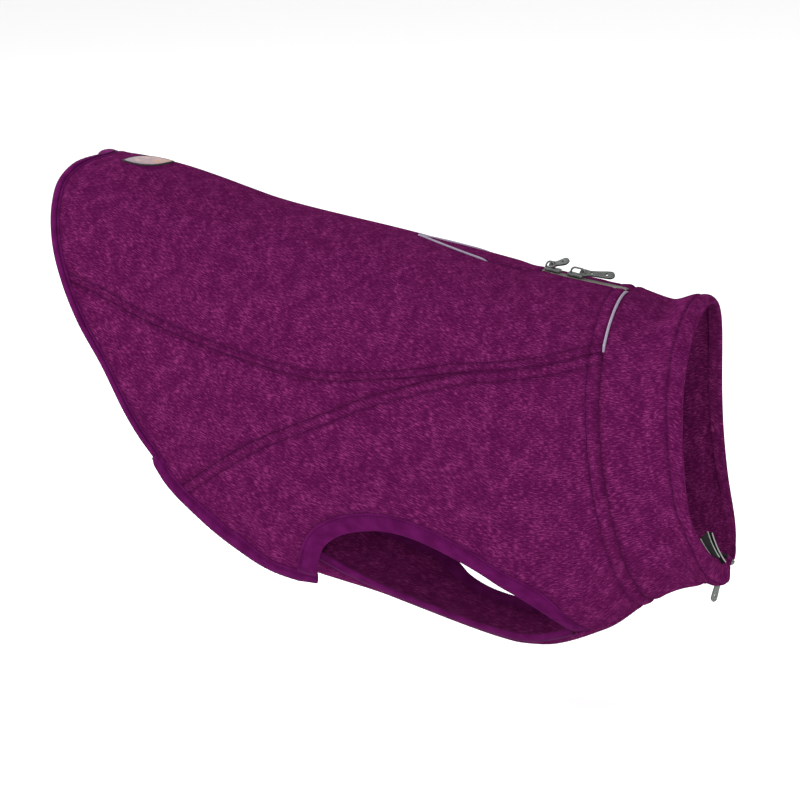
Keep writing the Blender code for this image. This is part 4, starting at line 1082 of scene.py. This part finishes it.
for name, node, key, base in (("tail_hem_tape", "tail_hem_binding", "tailBand", flat),
                              ("strap_hem_tape", "strap_hem_binding", "strapHemBand", strapTuck)):
    runs = [(*cutOf[own][key], side) for own, side in sideNames.items()]
    bandPiece(name, node, cutSizes["hemBand"], runs, base)
sideBands = {  # width, its lines, how the cloth under it stands off
    "belly_hem": (cutSizes["hemBand"] + cutSizes["bellyStep"], "bellyBand", flare),
    "armhole": (cutSizes["armBand"], "armBand", flare),
    "strap": (cutSizes["strapBand"], "strapBand", strapTuck),
}
for name, side in sideNames.items():
    for kind, (width, key, base) in sideBands.items():
        runs = [(*cutOf[name][key], side)]
        bandPiece(kind + "_tape_" + name, kind + "_binding_" + name, width, runs, base)
print("bindings made")


def sweep(path, ups, section):
    # a section of (across, up) carried along a path, its up held to the given direction
    run = unit(np.gradient(path, axis=0))
    across = unit(np.cross(run, ups))
    section = np.broadcast_to(section, (len(path),) + np.shape(section)[-2:])
    up = np.cross(across, run)[:, None]
    return path[:, None] + section[..., :1] * across[:, None] + section[..., 1:] * up


def beads(name, starts, ends, ups, radius, sides=6):
    # many small round-ended bars at once: a ring of sides at four stations along each
    size = np.linalg.norm(ends - starts, axis=-1, keepdims=True)
    axis = (ends - starts) / size
    across = unit(np.cross(ups, axis))
    up = np.cross(axis, across)
    turn = np.linspace(0, 2 * np.pi, sides, endpoint=False)
    around = across[:, None] * np.cos(turn)[:, None] + up[:, None] * np.sin(turn)[:, None]
    stations = [(0, 0.5), (radius * 0.6, 1.0), (size - radius * 0.6, 1.0), (size, 0.5)]
    points = np.stack([(starts + axis * at)[:, None] + around * radius * wide for at, wide in stations], 1)
    base = np.arange(len(starts))[:, None, None] * 4 * sides
    k, row = np.arange(sides), np.arange(3)[:, None] * sides
    quads = np.stack([row + k, row + (k + 1) % sides, row + sides + (k + 1) % sides, row + sides + k], -1)
    faces = (base + quads.reshape(-1, 4)).reshape(-1, 4).tolist()
    faces += (base[:, 0] + k[::-1]).tolist() + (base[:, 0] + 3 * sides + k).tolist()
    return settled([meshOf(name, points, faces)])


stitchShape = {"pitch": 2.9, "length": 2.0, "radius": 0.28, "first": 0.6, "sunk": 0.1, "rimSunk": 0.75,
               "bandSunk": 0.15, "seamEnds": 60, "bandEnds": 3, "collar": (0.03, 0.92, 500),
               "rim": (0.0, 0.955, 600)}


def sewnLines():
    # rows of stitches at an even pitch over the cloth, all in one mesh
    s, rows = stitchShape, []

    def add(along, share, lift):
        points = cloth(along, share, lift)
        run = runOf(points)
        index = np.arange(len(run))
        starts = np.arange(s["first"], run[-1] - s["length"], s["pitch"])
        first, last = np.interp(starts, run, index), np.interp(starts + s["length"], run, index)
        rows.append((pick(points, first), pick(points, last), pick(outward(along, share), first)))

    def addSeam(line, side, distance, base=flat):
        along, share = line[:, 0], line[:, 1] * side
        lift = creaseLift(along, share) + seamRoll(distance, distance) + s["sunk"]
        add(along, share, lift + base(along, share))

    within = slice(s["seamEnds"], -s["seamEnds"])
    for name, side in sideNames.items():
        cut = cutOf[name]
        addSeam(moved(cut["frontUpper"], topstitch["lower"])[within], side, topstitch["lower"], flare)
        addSeam(moved(cut["backSide"], -topstitch["upper"])[within], side, topstitch["upper"])
        share = np.linspace(*s["collar"])
        addSeam(np.stack([0 * share - topstitch["collarSeam"], share], -1), side, topstitch["collarSeam"])
        share = np.linspace(*s["rim"])
        along = rim(share, side) - topstitch["rim"]
        lift = creaseLift(along, share * side) - s["rimSunk"] + throatRoll(along, share, side)[1]
        add(along, share * side, lift)
    within = slice(s["bandEnds"], -s["bandEnds"])
    for outer, inner, side, width, base in bandLines:
        places = outer + (inner - outer) * (1 - topstitch["band"] / width)
        along, share = places[within, 0], places[within, 1] * side
        add(along, share, creaseLift(along, share) + bandShape["swell"] - s["bandSunk"] + base(along, share))
    starts, ends, ups = (np.concatenate(part) for part in zip(*rows))
    newPiece(beads("sewing_thread", starts, ends, ups, s["radius"]), threadPlum)


sewnLines()
print("stitches made")

pipingShape = {
    "collar": {"radius": 1.15, "height": 0.2}, "leaf": {"radius": 1.0, "height": 0.35},
    "starts": {leftSide: 0.1, rightSide: 0.0}, "leafEnd": -119.0, "points": 160,
    "sink": 1.8, "sinks": (0.06, 0.03),
}


def pipingTube(name, places, radius, height):
    # a round cord under its cloth; both ends sink into the seam
    p, t = pipingShape, np.linspace(0, 1, pipingShape["points"])
    along, share = sampled(places, t).T
    lift = height - p["sink"] * (bell(t, p["sinks"][0]) + bell(1 - t, p["sinks"][1]))
    path = cloth(along, share, lift + creaseLift(along, share))
    return tubeMesh(name, sweep(path, outward(along, share), ring(radius, radius)))


def pipings():
    # one cord for the collar seam, in two parts that start at the centre back, and one round the inset
    p, cut = pipingShape, cutOf["right"]
    seam = cut["seamBack"] * (0, 1)
    parts = [pipingTube("collar_piping_cord", seam[seam[:, 1] >= start] * (1, side), **p["collar"])
             for side, start in p["starts"].items()]
    newPiece(settled(parts, outwards=False), pipingCloth, ["collar_piping"])
    leaf = cut["leafLine"][cut["leafLine"][:, 0] < p["leafEnd"]]
    whole = np.concatenate([leaf[::-1] * (1, leftSide), leaf[1:] * (1, rightSide)])
    newPiece(pipingTube("back_piping_cord", whole, **p["leaf"]), pipingCloth,
             ["back_piping"])


pipings()

labelShape = {"rear": (-451.0, -0.070), "front": (-412.0, -0.003), "half": 8.4, "power": 0.95, "lift": 0.75,
              "wall": 0.7, "crown": 0.9, "edge": 0.75, "uvHalf": 19}


def label():
    # a lens of ribbon: straight from end to end, its half width a power of its place, slightly crowned
    c = labelShape
    rear, front = np.array(c["rear"]), np.array(c["front"])
    t, v = np.linspace(-1, 1, 61)[:, None], np.linspace(-1, 1, 25)
    middle = rear + (front - rear) * (t + 1) / 2
    half = c["half"] * np.maximum(1 - t**2, 0.0)**c["power"]
    scale = girth(middle[:, :1], middle[:, 1:])
    slant = math.atan2((front[1] - rear[1]) * scale.mean(), front[0] - rear[0])
    along = middle[:, :1] - half * v * math.sin(slant)
    share = middle[:, 1:] + half * v * math.cos(slant) / scale
    points = cloth(along, share, c["lift"] + c["crown"] * (1 - v**2) * (1 - t**2) + creaseLift(along, share))
    uv = np.stack([t * c["uvHalf"] + 0 * v, half * v], -1)
    piece = newPiece(gridMesh("label_ribbon", points, uv), labelCloth, ["label_patch"])
    thicken(piece, c["wall"], (0, 0, 1))

    def roundEdge(grid):
        # once round the ribbon's edge, with a point more at either end
        edge = np.concatenate([grid[:, 0], grid[::-1][1:-1, -1]])
        return np.concatenate([edge[-1:], edge, edge[:1]])

    rounded = sweep(roundEdge(points), roundEdge(outward(along, share)), ring(c["edge"], c["edge"], 8))[1:-1]
    newPiece(gridMesh("label_edge", rounded, closedAcross=True, closedAlong=True), labelEdge)


label()
print("piping and label made")

zipShape = {
    "leash": (-75.4, -1.8), "neck": (0.6, 66.0), "points": 90, "core": 0.75, "coreLow": -0.2,
    "pitch": 1.5, "first": 0.5, "tooth": 0.5, "toothHeight": 0.35, "toothDrop": 0.15, "toothReach": 1.75,
    "toothLap": 0.25,
    "tape": [(1.2, 0.6), (4.2, -0.7), (4.5, -0.9), (4.3, -1.5), (1.2, -0.2)],  # across, up
}


def zipOn(prefix, span, share, tape, teeth):
    # a coil zip on a centre line: two slanting tapes, and nylon loops that meet over a core
    z, sideways = zipShape, np.array([0, 1.0, 0])
    along = np.linspace(*span, z["points"])
    path, ups = cloth(along, share + 0 * along), outward(along, share + 0 * along)
    for name, side in sideNames.items():
        points = sweep(path, ups, np.array(z["tape"]) * (side if share == 0 else -side, 1))
        newPiece(tubeMesh(prefix + "_band_" + name, points), tape,
                 [prefix + "_tape_" + name])
    core = ring(z["core"], z["core"], 8, (0, z["coreLow"]))
    meshes = [tubeMesh(prefix + "_teeth", sweep(path, ups, core))]
    for side in sideNames.values():
        first = z["first"] + (z["pitch"] / 2 if side == leftSide else 0)
        at = np.arange(span[0] + first, span[1], z["pitch"])
        inner = cloth(at, share + 0 * at, z["toothHeight"]) - side * z["toothLap"] * sideways
        outer = cloth(at, share + 0 * at, z["toothHeight"] - z["toothDrop"])
        outer = outer + side * z["toothReach"] * sideways
        meshes.append(beads(prefix + "_teeth", inner, outer, outward(at, share + 0 * at), z["tooth"]))
    newPiece(settled(meshes, outwards=False), teeth, [prefix + "_coil"])


zipOn("leash_zip", zipShape["leash"], 0.0, leashTape, leashTeeth)
zipOn("neck_zip", zipShape["neck"], 1.0, neckTape, neckTeeth)

# the zip's folded end inside the right rim, each edge a line over the cloth, its share counted on the right:
# along and share at its top, along and share at its foot, height at both
endEdges = {
    "tapeNear": (70.7, 0.719, 77.2, 0.790, -14.0, -14.0),
    "tapeFar": (79.6, 0.697, 83.9, 0.800, -18.0, -14.0),
    "teethNear": (81.0, 0.698, 82.7, 0.847, -18.0, -13.0),
    "teethFar": (83.7, 0.700, 86.0, 0.832, -18.0, -14.0),
}
endShape = {"wall": 0.9, "points": 24, "square": 0.35, "selvedge": 0.55}


def zipEnd():
    # a flat strip between two edges for the tape and one for the teeth, and pale selvedges on three edges
    e = endShape
    t = np.linspace(0, 1, e["points"])
    lines = {name: cloth(a0 + (a1 - a0) * t, -(s0 + (s1 - s0) * t), h0 + (h1 - h0) * t)
             for name, (a0, s0, a1, s1, h0, h1) in endEdges.items()}
    section = ring(1.0, 1.0, 16)
    boxed = np.sign(section) * np.abs(section)**e["square"]
    for edge, part, node, finish in (("tape", "band", "tape", neckTape),
                                     ("teeth", "teeth", "coil", neckTeeth)):
        near, far = lines[edge + "Near"], lines[edge + "Far"]
        across = (far - near)[:, None] / 2
        up = unit(np.cross(np.gradient(near, axis=0)[:, None], across)) * e["wall"] / 2
        points = (far + near)[:, None] / 2 + boxed[:, :1] * across + boxed[:, 1:] * up
        newPiece(tubeMesh("neck_zip_end_" + part, points), finish,
                 ["neck_zip_" + node + "_end_right"])
    edges = [tubeMesh("neck_zip_selvedge", sweep(path, np.broadcast_to((0, 0, 1.0), path.shape),
                                                 ring(e["selvedge"], e["selvedge"], 8)))
             for name, path in lines.items() if name != "teethNear"]
    newPiece(settled(edges, outwards=False), selvedge)


zipEnd()
print("zips made")

metals = {"leash": (gunmetal, "gunmetal"), "neck": (silver, "silver_metal")}


def spot(c):
    # forward over the cloth, sideways, and away from it
    behind, ahead = (cloth(c["along"] + step, c["share"]) for step in (-6, 6))
    x = unit(ahead - behind)
    y = np.array([0, 1.0 if c["share"] == 0 else -1.0, 0])
    return x, y, np.cross(x, y)


tabs = {
    "leash_pull_tab_rear": {"body": "rear_tab", "along": -67, "share": 0, "angle": 28, "roll": 34,
                            "length": 17.0, "width": 7.4, "waist": 5.0, "holes": [(12.0, 1.2)]},
    "leash_pull_tab_front": {"body": "front_tab", "along": -47, "share": 0, "angle": 8, "roll": 38,
                             "length": 29.0, "width": 7.4, "waist": 5.2, "holes": [(9.5, 1.4), (22.5, 1.6)]},
    "neck_pull_tab": {"body": "neck_tab", "along": 66, "share": 1, "angle": None, "roll": 52, "length": 34.0,
                      "width": 5.4, "waist": 4.2, "holes": [(28.5, 1.2)]},
}
tabShape = {"wall": 2.2, "bevel": 0.35, "eye": [(1.9, -1.5), (5.0, -1.5), (5.0, 1.5), (1.9, 1.5)],
            "lean": 14.0, "start": 0.75, "startFull": 1.4, "points": 56, "thinnest": 0.05, "creaseAngle": 50}


def tabOutline(c):
    # it narrows to a waist and is round at both ends; its points stand closer there
    s = tabShape
    half, waist, size = c["width"] / 2, c["waist"] / 2, c["length"]
    t = (size - s["start"]) / 2 - (size + s["start"]) / 2 * np.cos(np.linspace(0, np.pi, s["points"]))
    end = np.sqrt(np.clip(1 - ((t - (size - half)) / half).clip(0)**2, 0, 1))
    startRound = s["startFull"] + s["start"]
    start = np.sqrt(np.clip(1 - ((s["startFull"] - t) / startRound).clip(0)**2, 0, 1))
    wide = waist + (half - waist) * (ramp(t, size * 0.35, size - half) + ramp(-t, -size * 0.3, -2.5))
    edge = np.stack([t, np.maximum(wide * end * start - s["bevel"], s["thinnest"])], -1)
    return np.concatenate([edge, edge[::-1] * (1, -1)])


def pullTab(node, c, finish, slotName):
    # a cast tab: a flat outline with an eye and round holes, its edges rounded, turned about its hinge
    s = tabShape
    x, y, z = spot(c)
    angle = c["angle"]
    if angle is None:
        angle = math.degrees(math.atan2(-z[2], -x[2])) + s["lean"]  # from hanging straight down
    turn, roll = math.radians(angle), math.radians(c["roll"])
    forward = x * math.cos(turn) + z * math.sin(turn)
    face = z * math.cos(turn) - x * math.sin(turn)
    across = y * math.cos(roll) + face * math.sin(roll)
    curve = bpy.data.curves.new(node, "CURVE")
    curve.dimensions, curve.fill_mode = "2D", "BOTH"
    curve.bevel_depth, curve.bevel_resolution = s["bevel"] * mm, 2
    curve.extrude = (s["wall"] / 2 - s["bevel"]) * mm
    for loop in [tabOutline(c), np.array(s["eye"])] + [ring(r, r, 16, (at, 0)) for at, r in c["holes"]]:
        spline = curve.splines.new("POLY")
        spline.points.add(len(loop) - 1)
        flatPoints = np.column_stack([loop * mm, np.zeros(len(loop)), np.ones(len(loop))])
        spline.points.foreach_set("co", flatPoints.ravel())
        spline.use_cyclic_u = True
    outline = place(curve, node + "_outline")
    bpy.context.view_layer.update()
    mesh = bpy.data.meshes.new_from_object(outline.evaluated_get(bpy.context.evaluated_depsgraph_get()))
    bpy.data.objects.remove(outline, do_unlink=True)
    points = np.zeros(len(mesh.vertices) * 3)
    mesh.vertices.foreach_get("co", points)
    joints = frame["record"]["behaviour"]["joints"]
    hinge = np.array(next(j["pos_m"] for j in joints if j["name"] == c["body"] + "_hinge"))
    placed = points.reshape(-1, 3) @ np.stack([forward, across, np.cross(forward, across)]) + hinge
    mesh.vertices.foreach_set("co", placed.ravel())
    settled([mesh], merge=True).set_sharp_from_angle(angle=math.radians(s["creaseAngle"]))
    mesh.materials.clear()
    mesh.name = node + "_cast"
    newPiece(mesh, finish, [node], c["body"])


sliders = {
    "leash_slider_rear": {"along": -67, "share": 0, "hinge": -3, "rise": 0.3, "back": 0.0},
    "leash_slider_front": {"along": -47, "share": 0, "hinge": 4, "rise": 0.3, "back": 5.0},
    "neck_slider": {"along": 66, "share": 1, "hinge": -2, "rise": 0.9, "back": 0.0},
}
sliderShape = {"length": 14.0, "width": 8.4, "height": 2.6, "dome": 0.25, "coilTop": 0.6, "barHeight": 1.3,
               "reach": 3.5, "wire": 0.85, "waist": 0.16, "round": 0.7, "square": 0.45, "foot": 1.0}


def slider(node, c, finish, slotName):
    # a cast body: a rounded plate drawn in at its waist, with a wire bridge over it. Its outline is a
    # superellipse, carried down a rounded edge and in to a pole on top and below
    s = sliderShape
    x, y, z = spot(c)
    middle = cloth(c["along"], c["share"])
    outX, outY = (np.sign(ring(1, 1, 64)) * np.abs(ring(1, 1, 64))**s["square"]).T
    outX, outY = outX * s["length"] / 2, outY * s["width"] / 2
    outY = outY * (1 - s["waist"] * np.cos(outX / s["length"] * np.pi)**2)
    tall = s["height"]
    low = arc((-s["round"], s["round"]), s["round"], s["round"], -90, 0, 5)
    pole = -s["length"]  # further in than the middle, where it is held
    high = (low * (1, -1) + (0, tall))[::-1]
    profile = np.concatenate([[(pole, 0)], low, high, [(pole, tall + s["dome"])]])
    shrink = np.clip(1 + profile[:, 0, None] / np.hypot(outX, outY), 0.0, 1)
    bottom = s["coilTop"] + c["rise"]
    body = (middle + (shrink * outX)[..., None] * x + (shrink * outY)[..., None] * y
            + (bottom + profile[:, 1, None, None]) * z)
    bend = np.radians(np.linspace(0, 180, 25))
    wireX = s["reach"] * np.cos(bend) - c["back"] * ramp(bend, 1.4, 1.75)
    foot = -s["barHeight"] - s["foot"]
    wireX, wireZ = np.pad(wireX, 1, "edge"), np.pad(s["reach"] * np.sin(bend), 1, constant_values=foot)
    hinge = middle + c["hinge"] * x + (bottom + tall + s["barHeight"]) * z
    path = hinge + wireX[:, None] * x + wireZ[:, None] * z
    wire = sweep(path, np.broadcast_to(y, path.shape), ring(s["wire"], s["wire"] * 1.25, 10))
    meshes = [tubeMesh(node + "_cast", points) for points in (body, wire)]
    newPiece(settled(meshes, outwards=False), finish, [node])


for make, parts in ((pullTab, tabs), (slider, sliders)):
    for node, c in parts.items():
        make(node, c, *metals[node.split("_")[0]])
print("hardware made")

floor = {"height": -0.36, "half": 16.0, "glow": 0.18}
lamps = {  # place, target, size in m, power in W
    "key": ((-0.9, -2.2, 2.6), (-0.2, 0, -0.1), 2.0, 20),
    "front": ((1.0, -3.3, 0.85), (-0.2, 0, -0.1), 1.2, 45),
    "side": ((2.4, -1.4, 0.8), (-0.2, 0, -0.1), 2.0, 12),
    "rear": ((-1.6, 2.0, 2.0), (-0.2, 0, -0.1), 2.0, 14),
    "through": ((-2.1, 0.1, 0.6), (-0.12, 0, -0.25), 0.8, 60),  # into the tail end, to light the inside
}
cameraSet = {"azimuth": 18.0, "elevation": 13.0, "distance": 3.5, "lens": 185.3, "sensor": 36.0,
             "target": (-0.1995, 0.0, -0.106)}


def backdrop():
    # a wide pale floor that runs out into the white of the room, lit a little so that it stays white
    ends = np.array([-floor["half"], floor["half"]])
    points = np.stack(np.broadcast_arrays(ends[:, None], -ends, floor["height"]), -1)
    mesh = gridMesh("backdrop", points / mm)
    made, _, shader = newMaterial("pale_paper", "#f6f6f6", 0.9)
    setSockets(shader, {"Emission Color": "#ffffff", "Emission Strength": floor["glow"]})
    mesh.materials.append(made)
    piece = place(mesh, "backdrop")


def aim(thing, back):
    # its own -Z looks against the given direction
    thing.rotation_euler = (-back).to_track_quat("-Z", "Y").to_euler()


def studio():
    # a white room, soft lamps and a long lens
    world = bpy.data.worlds.new("studio")
    bpy.context.scene.world = world
    world.use_nodes = True
    setSockets(world.node_tree.nodes["Background"], {"Color": "#ffffff", "Strength": 0.8})
    for name, (at, target, size, power) in lamps.items():
        data = bpy.data.lights.new(name, "AREA")
        data.shape, data.size, data.energy = "SQUARE", size, power
        lamp = place(data, name)
        lamp.location = at
        aim(lamp, Vector(at) - Vector(target))
    c = cameraSet
    data = bpy.data.cameras.new("camera")
    data.lens, data.sensor_width, data.clip_end = c["lens"], c["sensor"], 50
    camera = place(data, "camera")
    az, el = math.radians(c["azimuth"]), math.radians(c["elevation"])
    back = Vector((math.sin(az) * math.cos(el), -math.cos(az) * math.cos(el), math.sin(el)))
    camera.location = Vector(c["target"]) + back * c["distance"]
    aim(camera, back)
    bpy.context.scene.camera = camera
    bpy.context.scene.view_settings.view_transform = "Standard"


backdrop()
studio()
